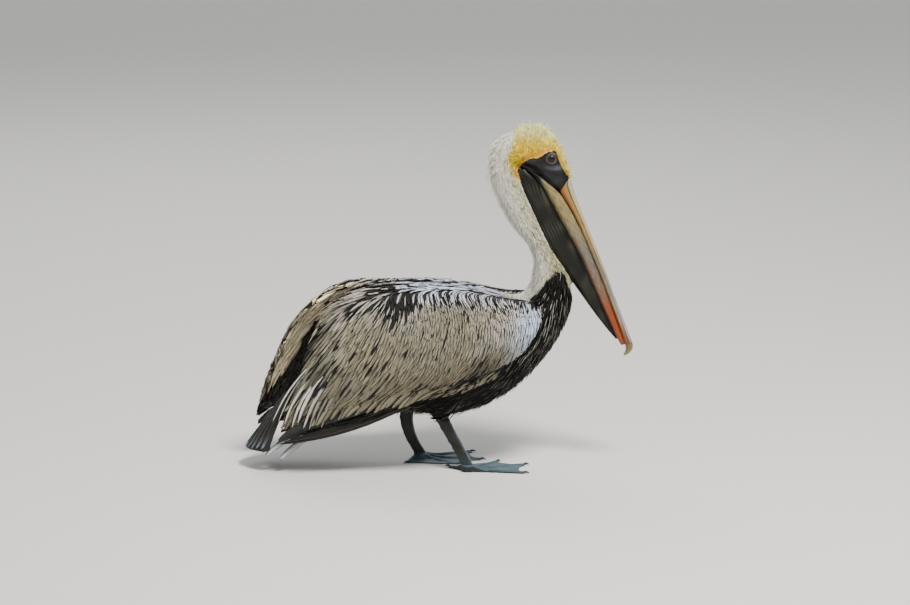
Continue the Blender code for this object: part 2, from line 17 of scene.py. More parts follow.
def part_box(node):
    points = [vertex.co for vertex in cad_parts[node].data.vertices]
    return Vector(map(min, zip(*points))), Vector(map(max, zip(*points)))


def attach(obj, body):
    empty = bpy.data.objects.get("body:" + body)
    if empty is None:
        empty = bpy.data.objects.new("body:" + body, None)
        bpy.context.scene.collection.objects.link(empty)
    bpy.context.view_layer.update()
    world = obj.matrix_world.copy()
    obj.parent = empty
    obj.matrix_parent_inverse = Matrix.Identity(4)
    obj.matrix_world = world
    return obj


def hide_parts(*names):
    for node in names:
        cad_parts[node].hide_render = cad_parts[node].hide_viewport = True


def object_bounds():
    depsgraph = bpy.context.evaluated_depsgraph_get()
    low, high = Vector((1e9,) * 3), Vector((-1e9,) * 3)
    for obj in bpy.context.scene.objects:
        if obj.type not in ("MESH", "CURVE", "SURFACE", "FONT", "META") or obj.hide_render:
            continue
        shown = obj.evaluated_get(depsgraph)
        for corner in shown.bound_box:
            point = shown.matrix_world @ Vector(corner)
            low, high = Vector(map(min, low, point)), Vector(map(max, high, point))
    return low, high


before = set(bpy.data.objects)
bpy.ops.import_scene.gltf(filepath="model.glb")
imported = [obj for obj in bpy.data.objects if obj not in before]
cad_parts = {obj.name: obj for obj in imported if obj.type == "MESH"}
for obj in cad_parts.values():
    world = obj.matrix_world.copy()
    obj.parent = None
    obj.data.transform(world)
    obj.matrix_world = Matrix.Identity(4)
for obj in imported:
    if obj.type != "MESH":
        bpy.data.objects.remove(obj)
CAD_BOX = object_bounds()
LOW, HIGH = np.array(CAD_BOX[0]), np.array(CAD_BOX[1])
SIDES = ("right", "left")
OUT = {"right": -1.0, "left": 1.0}  # which way each side of the bird faces along Y

# ---------------------------------------------------------------- small tools


def ease(value, low, high):
    """0 below low, 1 above high and a smooth rise in between."""
    share = np.clip((np.asarray(value, float) - low) / (high - low), 0.0, 1.0)
    return share * share * (3.0 - 2.0 * share)


def fade(value, low, high):
    """1 below low, 0 above high and a smooth fall in between."""
    return 1 - ease(value, low, high)


def unit(vectors):
    """The same directions with length 1."""
    size = np.linalg.norm(vectors, axis=-1, keepdims=True)
    return vectors / np.maximum(size, 1e-12)


def mix(a, b, share):
    """Between two colours or vectors, for each share in an array."""
    share = np.asarray(share, float)[..., None]
    return np.asarray(a, float) * (1 - share) + np.asarray(b, float) * share


def paint(red, green, blue):
    """A colour given in display values from 0 to 255, as linear light."""
    shown = np.array((red, green, blue)) / 255.0
    return np.where(shown <= 0.04045, shown / 12.92, ((shown + 0.055) / 1.055) ** 2.4)


def at(share_x, share_z):
    """A place in the side view, from shares of the whole bird's box."""
    return LOW[0] + share_x * (HIGH[0] - LOW[0]), LOW[2] + share_z * (HIGH[2] - LOW[2])


def shares_of(points):
    """Shares of the whole bird's box in the side view."""
    return (points[..., 0] - LOW[0]) / (HIGH[0] - LOW[0]), (points[..., 2] - LOW[2]) / (HIGH[2] - LOW[2])


def line_height(points, line):
    """Height of a line in the side view, drawn in shares of the bird's box, over each point."""
    places = np.array([at(*spot) for spot in line])
    return np.interp(points[..., 0], places[:, 0], places[:, 1])


def blot(points, share_x, share_z, reach_x, reach_z, turn=0.0):
    """A soft oval patch in the side view: 1 in its middle, fading out at its reach."""
    x, z = at(share_x, share_z)
    dx, dz = points[..., 0] - x, points[..., 2] - z
    c, s = math.cos(math.radians(turn)), math.sin(math.radians(turn))
    along, across = dx * c + dz * s, dz * c - dx * s
    return np.exp(-((along / reach_x) ** 2) - (across / reach_z) ** 2)


def wobble(points, scale, seed=0.0):
    """Smooth noise between about -1 and 1, with features of about the given size."""
    p = points / scale
    total = 0.0
    for k, (a, b, c) in enumerate(((1.0, 0.7, -0.4), (-0.6, 1.1, 0.8), (0.5, -0.9, 1.2))):
        phase = seed + 2.1 * k
        total = total + np.sin(p[..., 0] * a + p[..., 1] * b + p[..., 2] * c + phase
                               + 1.3 * np.sin(p[..., 1] * c - p[..., 2] * a + phase * 1.7))
    return total / 3.0


def patches(points, scale, seed=0.0):
    """The same noise between about 0 and 1."""
    return 0.5 + 0.5 * wobble(points, scale, seed)


def node_centre(name):
    """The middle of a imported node's box."""
    low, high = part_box(name)
    return np.array((low + high) / 2)


# ---------------------------------------------------------------- meshes from arrays


def linked(name, data):
    """A new object of the scene that holds a mesh, a light or a camera."""
    made = bpy.data.objects.new(name, data)
    bpy.context.scene.collection.objects.link(made)
    return made


def new_piece(name, verts, quads, tris, material):
    """An object from arrays of points, four-sided faces and three-sided faces."""
    mesh = bpy.data.meshes.new(name)
    corners = np.concatenate([quads.reshape(-1), tris.reshape(-1)]).astype(np.int32)
    starts = np.concatenate([np.arange(len(quads)) * 4, len(quads) * 4 + np.arange(len(tris)) * 3])
    mesh.vertices.add(len(verts))
    mesh.vertices.foreach_set("co", np.asarray(verts, np.float32).reshape(-1))
    mesh.loops.add(len(corners))
    mesh.loops.foreach_set("vertex_index", corners)
    mesh.polygons.add(len(starts))
    mesh.polygons.foreach_set("loop_start", starts.astype(np.int32))
    mesh.update(calc_edges=True)
    mesh.shade_smooth()
    mesh.materials.append(material)
    return linked(name, mesh), corners


def set_uv(mesh, name, corners, values):
    """Stores a UV map from one place for each point."""
    layer = mesh.uv_layers.new(name=name)
    layer.data.foreach_set("uv", np.asarray(values, np.float32)[corners].reshape(-1))


def set_colour(mesh, name, colours):
    """Stores four numbers for each point."""
    layer = mesh.attributes.new(name, "FLOAT_COLOR", "POINT")
    layer.data.foreach_set("color", np.asarray(colours, np.float32).reshape(-1))


def set_number(mesh, name, values):
    """Stores one number for each point."""
    layer = mesh.attributes.new(name, "FLOAT", "POINT")
    layer.data.foreach_set("value", np.asarray(values, np.float32).reshape(-1))


def points_of(mesh, what="co"):
    """The points of a mesh, or their normals."""
    count = len(mesh.vertices)
    values = np.empty(count * 3, np.float32)
    source = mesh.vertices if what == "co" else mesh.vertex_normals
    source.foreach_get("co" if what == "co" else "vector", values)
    return values.reshape(-1, 3).astype(float)


def move_points(mesh, points):
    """Puts a mesh's points at new places."""
    mesh.vertices.foreach_set("co", points.astype(np.float32).reshape(-1))
    mesh.update()


def mesh_from(shape, name):
    """A mesh from a bmesh, which is freed."""
    mesh = bpy.data.meshes.new(name)
    shape.to_mesh(mesh)
    shape.free()
    return mesh


def triangles_of(mesh):
    """The triangles of a mesh, as numbers of points."""
    mesh.calc_loop_triangles()
    faces = np.empty(len(mesh.loop_triangles) * 3, np.int32)
    mesh.loop_triangles.foreach_get("vertices", faces)
    return faces.reshape(-1, 3)


def edges_of(mesh):
    """The two end points of each edge of a mesh."""
    ends = np.empty(len(mesh.edges) * 2, np.int32)
    mesh.edges.foreach_get("vertices", ends)
    return ends.reshape(-1, 2)


def relaxed(values, edges, rounds, weight=1.0):
    """Averages values over neighbouring points, a few times."""
    values = np.array(values, float)
    flat = values.reshape(len(values), -1)
    count = np.bincount(edges.reshape(-1), minlength=len(flat))[:, None]
    for _ in range(rounds):
        total = np.zeros_like(flat)
        for column in range(flat.shape[1]):
            total[:, column] = np.bincount(edges[:, 0], flat[edges[:, 1], column], len(flat))
            total[:, column] += np.bincount(edges[:, 1], flat[edges[:, 0], column], len(flat))
        share = np.reshape(weight, (-1, 1)) * np.ones((len(flat), 1))
        flat += (total / np.maximum(count, 1) - flat) * share
    return flat.reshape(values.shape)


def tree_of(points, faces):
    """A search tree of some triangles."""
    return BVHTree.FromPolygons(points.tolist(), faces.tolist())


def nearest(tree, points):
    """The nearest place, its normal, its face and how far it is, for each point."""
    found = [tree.find_nearest(p) for p in points.tolist()]
    places = np.array([f[0][:] for f in found])
    normals = np.array([f[1][:] for f in found])
    return places, normals, np.array([f[2] for f in found]), np.array([f[3] for f in found])


# ---------------------------------------------------------------- materials


class Shader:
    """A material, and short ways to add nodes to it."""

    def __init__(self, name):
        self.material = bpy.data.materials.new(name)
        self.material.use_nodes = True
        self.nodes, self.links = self.material.node_tree.nodes, self.material.node_tree.links

    def fill(self, node, inputs):
        """Sets the inputs of a node, or links them where the value is another node's output."""
        for key, value in inputs.items():
            if isinstance(value, bpy.types.NodeSocket):
                self.links.new(value, node.inputs[key])
            else:
                node.inputs[key].default_value = value
        return node

    def surface(self, inputs):
        """Sets or links inputs of the surface itself and gives the material."""
        self.fill(self.nodes["Principled BSDF"], inputs)
        return self.material

    def add(self, kind, inputs=(), **settings):
        """A new node's outputs."""
        node = self.nodes.new(kind)
        for key, value in settings.items():
            setattr(node, key, value)
        return self.fill(node, dict(inputs)).outputs

    def attribute(self, name):
        """The outputs of a colour attribute: colour, vector, factor and alpha."""
        return self.add("ShaderNodeAttribute", attribute_name=name)

    def uv(self, name):
        """A UV map's vector."""
        return self.add("ShaderNodeUVMap", uv_map=name)[0]

    def place(self):
        """The place in the scene."""
        return self.add("ShaderNodeNewGeometry")["Position"]

    def maths(self, operation, first, second):
        """The result of one sum."""
        return self.add("ShaderNodeMath", {0: first, 1: second}, operation=operation)[0]

    def centred(self, value, amount):
        """A value from 0 to 1 as one from -amount / 2 to amount / 2."""
        return self.maths("MULTIPLY", self.maths("SUBTRACT", value, 0.5), amount)

    def noise(self, vector, scale, detail=3.0, roughness=0.6):
        """Noise from 0 to 1."""
        inputs = {"Vector": vector, "Scale": scale, "Detail": detail, "Roughness": roughness}
        return self.add("ShaderNodeTexNoise", inputs)["Fac"]

    def shaded(self, colour, factor, low, high):
        """A colour made darker or lighter by a factor from 0 to 1."""
        spread = self.add("ShaderNodeMapRange", {"Value": factor, "To Min": low, "To Max": high})
        return self.add("ShaderNodeVectorMath", {0: colour, "Scale": spread[0]}, operation="SCALE")[0]

    def bump(self, height, strength, distance):
        """A normal bumped by a height."""
        return self.add("ShaderNodeBump", {"Height": height, "Strength": strength, "Distance": distance})[0]


# The wider rim stands for painted shadow along one side of each vane.
VANE_SHAFT = 0.44  # the shaft lies a little off the middle of a vane, so one rim is wider
BARBS = 26.0  # barbs along a vane
BARB_SLANT = 2.4  # how far each barb leans tipwards on its way to the rim
RIM_SOFTNESS = 0.14  # half the width over which the dark rim of a vane begins


def feather_material(name, rim, roughness, sheen):
    """Vanes: a pale middle and a dark rim, with fine slanting barbs. The rim is partly the feathers' own dark
    edge and partly painted shadow between them.
    """
    shader = Shader(name)
    tint = shader.attribute("tint")
    vane = shader.add("ShaderNodeSeparateXYZ", {0: shader.uv("Vane")})
    off = shader.maths("ABSOLUTE", shader.maths("SUBTRACT", vane[0], VANE_SHAFT), 0.0)
    across = shader.maths("DIVIDE", off, 1 - VANE_SHAFT)
    slant = shader.maths("SUBTRACT", shader.maths("MULTIPLY", vane[1], BARBS),
                         shader.maths("MULTIPLY", across, BARB_SLANT))
    barb = shader.add("ShaderNodeCombineXYZ", {0: slant, 1: across})[0]
    shift = shader.add("ShaderNodeVectorMath", {0: shader.place(), "Scale": 60.0}, operation="SCALE")[0]
    moved = shader.add("ShaderNodeVectorMath", {0: barb, 1: shift}, operation="ADD")[0]
    grain = shader.noise(moved, 1.6, 4.0, 0.7)
    start = shader.maths("ADD", tint["Alpha"], shader.centred(grain, 0.35))
    edge = shader.add("ShaderNodeMapRange", {
        "Value": across,
        "From Min": shader.maths("SUBTRACT", start, RIM_SOFTNESS),
        "From Max": shader.maths("ADD", start, RIM_SOFTNESS),
    }, interpolation_type="SMOOTHSTEP")
    body = shader.shaded(tint["Color"], grain, 0.72, 1.28)
    blend = shader.add("ShaderNodeMix", {"Factor": edge[0], "A": body, "B": (*rim, 1.0)}, data_type="RGBA")
    return shader.surface({
        "Base Color": blend["Result"], "Roughness": roughness, "Specular IOR Level": 0.20,
        "Sheen Weight": sheen, "Sheen Roughness": 0.5, "Normal": shader.bump(grain, 0.35, 0.0006),
    })


def tuft_material(name, roughness, sheen):
    """Short hair-like tufts, coloured along their length."""
    shader = Shader(name)
    grain = shader.noise(shader.place(), 900.0, 2.0)
    return shader.surface({
        "Base Color": shader.shaded(shader.attribute("tint")["Color"], grain, 0.8, 1.2),
        "Roughness": roughness, "Specular IOR Level": 0.25, "Sheen Weight": sheen, "Sheen Roughness": 0.5,
        "Normal": shader.bump(grain, 0.3, 0.0004),
    })


def skin_material():
    """Bare skin, pouch and leg scales, coloured by the skin's markings and its painted sheen, highlights and
    shade.
    """
    shader = Shader("skin")
    fine = shader.noise(shader.place(), 700.0, 4.0, 0.65)
    broad = shader.noise(shader.place(), 110.0, 3.0)
    cells = shader.add("ShaderNodeTexVoronoi", {"Vector": shader.place(), "Scale": 620.0},
                       feature="DISTANCE_TO_EDGE")
    colour = shader.shaded(shader.attribute("tint")["Color"], broad, 0.7, 1.3)
    height = shader.maths("ADD", shader.maths("MULTIPLY", cells["Distance"], 1.4), fine)
    return shader.surface({
        "Base Color": shader.shaded(colour, fine, 0.8, 1.2),
        "Roughness": shader.maths("ADD", shader.attribute("gloss")["Fac"], shader.centred(broad, 0.25)),
        "Specular IOR Level": 0.25, "Normal": shader.bump(height, 0.4, 0.0005),
    })


def plain_material(name, colour, roughness):
    """Dark under-plumage that shows only between the long feathers."""
    shader = Shader(name)
    grain = shader.noise(shader.place(), 500.0)
    base = shader.add("ShaderNodeRGB")[0]
    base.default_value = (*colour, 1.0)
    return shader.surface({"Base Color": shader.shaded(base, grain, 0.7, 1.3), "Roughness": roughness})


def horn_material(name, roughness, streak):
    """Bill and claws: horn with fine streaks along its length, small scuffs and a dull root."""
    shader = Shader(name)
    tint = shader.attribute("tint")
    lines = shader.noise(shader.uv("Grain"), streak, 5.0, 0.7)
    scuffs = shader.noise(shader.place(), 420.0, 4.0, 0.7)
    dull = shader.maths("MULTIPLY", shader.maths("SUBTRACT", 1.0, tint["Alpha"]), 0.45)
    rough = shader.maths("ADD", roughness, shader.maths("MULTIPLY", scuffs, 0.25))
    height = shader.maths("ADD", lines, shader.maths("MULTIPLY", scuffs, 0.5))
    return shader.surface({
        "Base Color": shader.shaded(shader.shaded(tint["Color"], lines, 0.6, 1.4), scuffs, 0.85, 1.15),
        "Roughness": shader.maths("ADD", rough, dull), "Coat Weight": 0.10, "Coat Roughness": 0.25,
        "Normal": shader.bump(height, 0.35, 0.0005),
    })


def eye_material():
    """A wet eyeball with fine spokes in its colour."""
    shader = Shader("eye")
    spokes = shader.noise(shader.place(), 1500.0, 2.0)
    return shader.surface({
        "Base Color": shader.shaded(shader.attribute("tint")["Color"], spokes, 0.7, 1.3),
        "Roughness": 0.4, "Specular IOR Level": 0.1, "Coat Weight": 0.35, "Coat Roughness": 0.02,
    })


def floor_material():
    """Matt and pale."""
    return Shader("floor").surface({"Base Color": (0.72, 0.70, 0.66, 1.0), "Roughness": 0.9})


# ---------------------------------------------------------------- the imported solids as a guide


def solids_guide():
    """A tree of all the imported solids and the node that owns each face."""
    names, points, faces, owners, base = sorted(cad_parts), [], [], [], 0
    for index, name in enumerate(names):
        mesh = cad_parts[name].data
        points.append(points_of(mesh))
        faces.append(triangles_of(mesh) + base)
        owners.append(np.full(len(faces[-1]), index))
        base += len(points[-1])
    points, faces = np.concatenate(points), np.concatenate(faces)
    return tree_of(points, faces), np.concatenate(owners), names


GUIDE, GUIDE_OWNERS, NODE_NAMES = solids_guide()


def owner_of(points):
    """The node that each point is nearest to, as numbers into NODE_NAMES."""
    return GUIDE_OWNERS[nearest(GUIDE, points)[2]]


def is_node(owners, *names):
    """Which owners are among the named nodes."""
    return np.isin(owners, [NODE_NAMES.index(name) for name in names])


# ---------------------------------------------------------------- skin

WING_NODES = [f"wing_{side}_{part}" for side in SIDES for part in ("coverts", "tertials")]
WING_INNER = (0.030, 0.052)  # how far from the middle plane the inner side gives way to the outer one
BODY_NODES = ["trunk", "neck_lower", "neck_upper", "head", "pouch", "thigh_right", "thigh_left"] + WING_NODES
LEG_NODES = [f"{part}_{side}" for side in SIDES for part in ("shank", "foot")]
EYES = {side: node_centre(f"eye_{side}") for side in SIDES}
EYE_RADIUS = float(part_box("eye_right")[1].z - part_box("eye_right")[0].z) / 2

# Depth of the coat over the skin.
COAT = {"trunk": 0.0055, "neck_lower": 0.0042, "neck_upper": 0.0038, "head": 0.0040, "pouch": 0.0,
        "thigh_right": 0.0035, "thigh_left": 0.0035}
WING_COAT = 0.0055
CROWN_COAT = 0.0085
# Remeshing: how far the solids grow so that neighbours join, the size of a face, and smoothing.
BODY_MESH = (0.0004, 0.0016, 6)
LEG_MESH = (0.0003, 0.0008, 4)
MOUTH_MESH = (0.0014, 0.0014, 2)
LINING_DEPTH = 0.0030  # the lining of the mouth lies this far inside the grown bill
SKIN_KEPT = 0.35  # share of the skin's faces that is kept under the coat
FINE_REACH = 0.015  # the skin's faces are cut finer within this of an eye
BARE_DEPTH = 0.0006  # most that bare skin lies inside the solids
MOST_OF_THICKNESS = 0.30  # the coat takes at most this share of a thin form on each side

# The edge of the bare face in the side view, from the gape round above the eye to the bill:
# distance forward of the eye's middle and above it.
FACE_EDGE = np.array([
    (-0.0560, -0.0215), (-0.0520, -0.0150), (-0.0450, -0.0058), (-0.0340, 0.0004), (-0.0200, 0.0022),
    (-0.0115, 0.0078), (-0.0040, 0.0118), (0.0040, 0.0100), (0.0105, 0.0020), (0.0170, -0.0140),
    (0.0240, -0.0270), (0.0300, -0.0400),
])
POUCH_SLOPE = 0.364  # behind the gape, the bare skin's rear edge runs down along the pouch


def face_height(points):
    """How far each point lies above the edge of the bare face."""
    eye = EYES["right"]
    return points[..., 2] - eye[2] - np.interp(points[..., 0] - eye[0], FACE_EDGE[:, 0], FACE_EDGE[:, 1])


def in_face(points, margin=0.0):
    """Whether a point of the head lies in the bare face."""
    forward, up = points[..., 0] - EYES["right"][0], points[..., 2] - EYES["right"][2]
    rear = FACE_EDGE[0, 0] + POUCH_SLOPE * np.maximum(FACE_EDGE[0, 1] - up, 0.0)
    ring = np.hypot(forward, up) < 0.0112
    return ((forward > rear - margin) & (face_height(points) < margin)) | ring


def gathered(names, grow):
    """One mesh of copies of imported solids, each grown a little so that neighbours overlap."""
    shape = bmesh.new()
    for name in names:
        part = bmesh.new()
        part.from_mesh(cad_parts[name].data)
        bmesh.ops.remove_doubles(part, verts=part.verts, dist=1e-5)
        part.normal_update()
        moves = [v.normal * grow for v in part.verts]
        for v, move in zip(part.verts, moves):
            v.co += move
        copy = mesh_from(part, "copy")
        shape.from_mesh(copy)
        bpy.data.meshes.remove(copy)
    return mesh_from(shape, "gathered")


def evaluated(mesh, *steps, hidden=()):
    """A mesh after modifiers, each given as (kind, settings). A group holds its hidden points, if any."""
    helper = linked("helper", mesh)
    if hidden:
        helper.vertex_groups.new(name="hidden").add(hidden, 1.0, "REPLACE")
    for kind, settings in steps:
        step = helper.modifiers.new(kind, kind)
        for key, value in settings.items():
            setattr(step, key, value)
    graph = bpy.context.evaluated_depsgraph_get()
    made = bpy.data.meshes.new_from_object(helper.evaluated_get(graph))
    bpy.data.objects.remove(helper)
    bpy.data.meshes.remove(mesh)
    return made


def remeshed(names, grow, voxel, rounds):
    """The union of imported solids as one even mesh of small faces, with facets smoothed away."""
    return evaluated(gathered(names, grow),
                     ("REMESH", {"mode": "VOXEL", "voxel_size": voxel}),
                     ("SMOOTH", {"factor": 0.5, "iterations": rounds}))


def refined(mesh, chosen, cuts):
    """The same mesh with the faces that touch the chosen points cut finer."""
    shape = bmesh.new()
    shape.from_mesh(mesh)
    shape.verts.ensure_lookup_table()
    picked = set(np.nonzero(chosen)[0].tolist())
    edges = [e for e in shape.edges if e.verts[0].index in picked and e.verts[1].index in picked]
    bmesh.ops.subdivide_edges(shape, edges=edges, cuts=cuts, use_grid_fill=True)
    bmesh.ops.triangulate(shape, faces=[f for f in shape.faces if len(f.verts) > 4])
    shape.to_mesh(mesh)
    shape.free()
    return mesh


def wall_thickness(points, normals, tree):
    """How thick the form is behind each point of its surface."""
    inside = points - normals * 2e-4
    hits = [tree.ray_cast(p, n, 0.1) for p, n in zip(inside.tolist(), (-normals).tolist())]
    return np.array([0.1 if h[0] is None else h[3] for h in hits])


def coat_depth(points, normals, owners):
    """How deep the coat is over each point of the body."""
    depth = np.full(len(points), WING_COAT)
    for name, value in COAT.items():
        depth[is_node(owners, name)] = value
    head = is_node(owners, "head")
    eye = EYES["right"]
    up = np.clip(normals @ np.array((0.35, 0.0, 0.94)), 0, 1)
    crown = ease(up, 0.15, 0.8) * ease(points[:, 2], eye[2], eye[2] + 0.02)
    depth[head] = (COAT["head"] + (CROWN_COAT - COAT["head"]) * crown)[head]
    depth[head & in_face(points)] = 0.0
    return depth


LID_OPENING = 0.66 * EYE_RADIUS
# Rings round the eye's axis: the height, middle and half width of the lid's rim, of the groove
# outside it and of the orbital ring.
EYE_RINGS = [(0.0016, LID_OPENING + 0.0006, 0.0008), (-0.0006, 0.0074, 0.0007), (0.0006, 0.0086, 0.0008)]
LID_TUCK = 0.0022  # how far the skin lies inside the ball where the lids are open
LID_HEIGHT = 0.0052  # how far the lids' rim stands out from the eye's middle
LID_SLOPE = 0.05  # and how fast the skin falls away from it
LID_EDGE = (0.0095, 0.0125)  # the sculpted lids end between these distances from the eye's axis


def lid_profile(reach):
    """How far the lids stand out from the eye's middle, by distance from its axis."""
    ball = np.sqrt(np.maximum(EYE_RADIUS**2 - reach**2, 0.0))
    out = np.maximum(LID_HEIGHT - LID_SLOPE * (reach - LID_OPENING), 0.0)
    for height, middle, width in EYE_RINGS:
        out = out + height * np.exp(-(((reach - middle) / width) ** 2))
    return np.where(reach < LID_OPENING, ball - LID_TUCK, np.maximum(out, 0.0))


def sculpt_face(points):
    """Lids and orbital rings round the eyes."""
    for side in SIDES:
        eye, out = EYES[side], OUT[side]
        near = (points[:, 1] * out > 0.006) & (np.linalg.norm(points - eye, axis=1) < 0.030)
        dx, dz = points[near, 0] - eye[0], points[near, 2] - eye[2]
        reach = np.hypot(dx, dz * 1.06)
        shaped = abs(eye[1]) + lid_profile(reach)
        hold = fade(reach, *LID_EDGE)
        level = points[near, 1] * out
        points[near, 1] = (level * (1 - hold) + shaped * hold) * out
    return points


def body_skin():
    """The skin of trunk, neck, head, pouch, thighs and wings, inside the coat."""
    mesh = remeshed(BODY_NODES, *BODY_MESH)
    points = points_of(mesh)
    eye_reach = np.min([np.linalg.norm(points - EYES[side], axis=1) for side in SIDES], axis=0)
    mesh = refined(mesh, eye_reach < FINE_REACH, 3)
    points, normals, edges = points_of(mesh), points_of(mesh, "normal"), edges_of(mesh)
    owners = owner_of(points)
    tree = tree_of(points, triangles_of(mesh))
    depth = coat_depth(points, normals, owners)
    bare = is_node(owners, "pouch") | (is_node(owners, "head") & in_face(points))
    depth = relaxed(depth, edges, 6)
    depth[bare] = np.minimum(depth[bare], BARE_DEPTH)
    thick = relaxed(wall_thickness(points, normals, tree), edges, 3)
    depth = np.minimum(depth, np.where(bare, 1.0, thick * MOST_OF_THICKNESS))
    points = points - normals * depth[:, None]
    points = relaxed(points, edges, 4, np.where(bare, 0.0, 0.5))
    points = sculpt_face(points)
    move_points(mesh, points)
    return thinned(mesh, bare)


def thinned(mesh, bare):
    """Fewer faces where the coat hides the skin."""
    step = ("DECIMATE", {"ratio": SKIN_KEPT, "vertex_group": "hidden"})
    return evaluated(mesh, step, hidden=np.nonzero(~bare)[0].tolist())


def mouth_floor():
    """The soft tissue across the corner of the mouth."""
    shape = bmesh.new()
    bmesh.ops.create_icosphere(shape, subdivisions=3, radius=1.0)
    eye = EYES["right"]
    for v in shape.verts:
        x, y, z = v.co
        v.co = (eye[0] - 0.036 + 0.026 * x, 0.016 * y, eye[2] - 0.017 + 0.008 * z - 0.013 * x)
    return mesh_from(shape, "floor_of_mouth")


def mouth_lining(body):
    """A form inside the closed bill that bridges the narrow gaps between its parts, later coloured dark as
    painted shade.
    """
    mesh = remeshed(["bill_upper", "bill_lower", "pouch", "head"], *MOUTH_MESH)
    points = points_of(mesh) - points_of(mesh, "normal") * LINING_DEPTH
    mesh.vertices.foreach_set("co", points.astype(np.float32).reshape(-1))
    bill = gathered(["bill_upper", "bill_lower"], 0.0)
    from_bill = nearest(tree_of(points_of(bill), triangles_of(bill)), points)[3]
    bpy.data.meshes.remove(bill)
    place, up, _, _ = nearest(tree_of(points_of(body), triangles_of(body)), points)
    outside = ((points - place) * up).sum(1) > -0.0003
    shape = bmesh.new()
    shape.from_mesh(mesh)
    shape.verts.ensure_lookup_table()
    spare = np.nonzero(outside & (from_bill > 0.004) & ~in_face(points, -0.001))[0]
    bmesh.ops.delete(shape, geom=[shape.verts[k] for k in spare.tolist()], context="VERTS")
    tissue = mouth_floor()
    shape.from_mesh(tissue)
    bpy.data.meshes.remove(tissue)
    shape.to_mesh(mesh)
    shape.free()
    return mesh


def make_skin():
    """One object: the body's skin, the lining of the mouth and both bare legs."""
    body = body_skin()
    legs = remeshed(LEG_NODES, *LEG_MESH)
    sculpt_legs(legs)
    mouth = mouth_lining(body)
    body_count, leg_count = len(body.vertices), len(legs.vertices)
    shape = bmesh.new()
    for part in (body, legs, mouth):
        shape.from_mesh(part)
    shape.to_mesh(body)
    shape.free()
    bpy.data.meshes.remove(legs)
    bpy.data.meshes.remove(mouth)
    body.name = "skin"
    body.materials.clear()
    body.materials.append(skin_material())
    body.shade_smooth()
    points, normals = points_of(body), points_of(body, "normal")
    colours, gloss = skin_markings(points, normals, owner_of(points))
    # The mouth's lining is dark: painted shade in the gaps between the bill's parts.
    colours[body_count + leg_count:] = MOUTH_GAP_SHADE
    set_colour(body, "tint", np.column_stack([colours, np.ones(len(colours))]))
    set_number(body, "gloss", gloss)
    return linked("skin", body)


# ---------------------------------------------------------------- markings

SLATE = paint(14, 14, 14)
SLATE_PAINTED_SHEEN = paint(92, 96, 108)
POUCH_DARK = paint(15, 15, 12)
POUCH_PALE_AND_HIGHLIGHT = paint(104, 102, 84)
RING_SKIN = paint(84, 72, 64)
RING_PALE = paint(132, 118, 100)
LID_DARK = paint(20, 17, 16)
LEG_DARK = paint(27, 25, 17)
LEG_PALE = paint(70, 94, 106)
LEG_FRONT_HIGHLIGHT = paint(116, 132, 142)
SILVER_FRONT_LIT = paint(166, 162, 154)
SILVER = paint(132, 126, 107)
SILVER_LOW_SHADED = paint(118, 112, 93)
SILVER_COOL_SKY_SHEEN = paint(198, 208, 230)
SILVER_WARM = paint(190, 182, 174)
SILVER_INNER_LIT = paint(232, 217, 181)
BROWN_BLACK = paint(38, 33, 30)
WHITE = paint(255, 251, 232)
CREAM = paint(242, 232, 176)
SPECK = paint(84, 74, 56)
THROAT_GREEN = paint(206, 200, 142)
YELLOW = paint(250, 222, 22)
YELLOW_PALE = paint(250, 250, 118)
GOLD = paint(228, 168, 4)
TIP_PALE_AND_HIGHLIGHT = paint(250, 255, 200)
MOUTH_GAP_SHADE = paint(24, 21, 20)
SKIN_UNDER_COAT = paint(60, 54, 48)
UNDER_SILVER = paint(66, 62, 55)
UNDER_BLACK_AND_SHADE = paint(22, 20, 18)
UNDER_WHITE = paint(196, 190, 172)
UNDER_BREAST = paint(24, 21, 19)
UNDER_HEAD = paint(214, 208, 190)
UNDER_CROWN = paint(214, 172, 60)
LEG_GROOVE_SHADE = paint(20, 19, 15)
STREAK_WHITE = paint(224, 222, 216)
SMUDGE_BROWN = paint(50, 43, 36)
BLACK_AND_GAP_SHADE = paint(13, 12, 11)
COVERT_BLACK = paint(20, 18, 16)
TERTIAL_PALE = paint(224, 217, 211)
TERTIAL_DULL = paint(138, 132, 116)
QUILL_BLACK = paint(26, 24, 22)
SHAFT_PALE = paint(92, 84, 70)
TAIL_DARK = paint(30, 28, 25)
TAIL_TIP = paint(120, 126, 132)
TAIL_TIP_OUTER = paint(164, 172, 182)
SPLAYED_ROOT = paint(120, 122, 124)
SPLAYED_TIP = paint(190, 194, 200)
BREAST_BLACK = paint(12, 11, 8)
BREAST_PALE = paint(186, 185, 174)
BELLY_TIP = paint(190, 186, 176)
RUMP_BROWN = paint(40, 36, 32)
STRAW_WHITE = paint(255, 240, 150)

# The edge of the black breast on the neck in the side view, as shares of the bird's box.
BLACK_EDGE = [(0.700, 0.430), (0.733, 0.474), (0.750, 0.506), (0.763, 0.532), (0.781, 0.564), (0.801, 0.582),
              (0.819, 0.570), (0.834, 0.522), (0.850, 0.484)]


def black_depth(points):
    """How far below the edge of the black breast each point of the neck lies."""
    return line_height(points, BLACK_EDGE) - points[..., 2]


def pouch_folds(points):
    """1 on the crests of the long folds of the pouch, which run down from the gape, where a highlight is
    painted.
    """
    share, depth, y = bill_places(points)
    bend = 0.0030 * wobble(np.column_stack([share * 0.30, 0 * y, 0 * y]), 0.035, 1.0)
    phase = (depth + bend) / 0.0052 + 0.35 * wobble(points, 0.012, 2.0)
    strength = 0.55 + 0.45 * wobble(points, 0.016, 7.0)
    return (0.5 + 0.5 * np.cos(phase * math.tau)) * strength


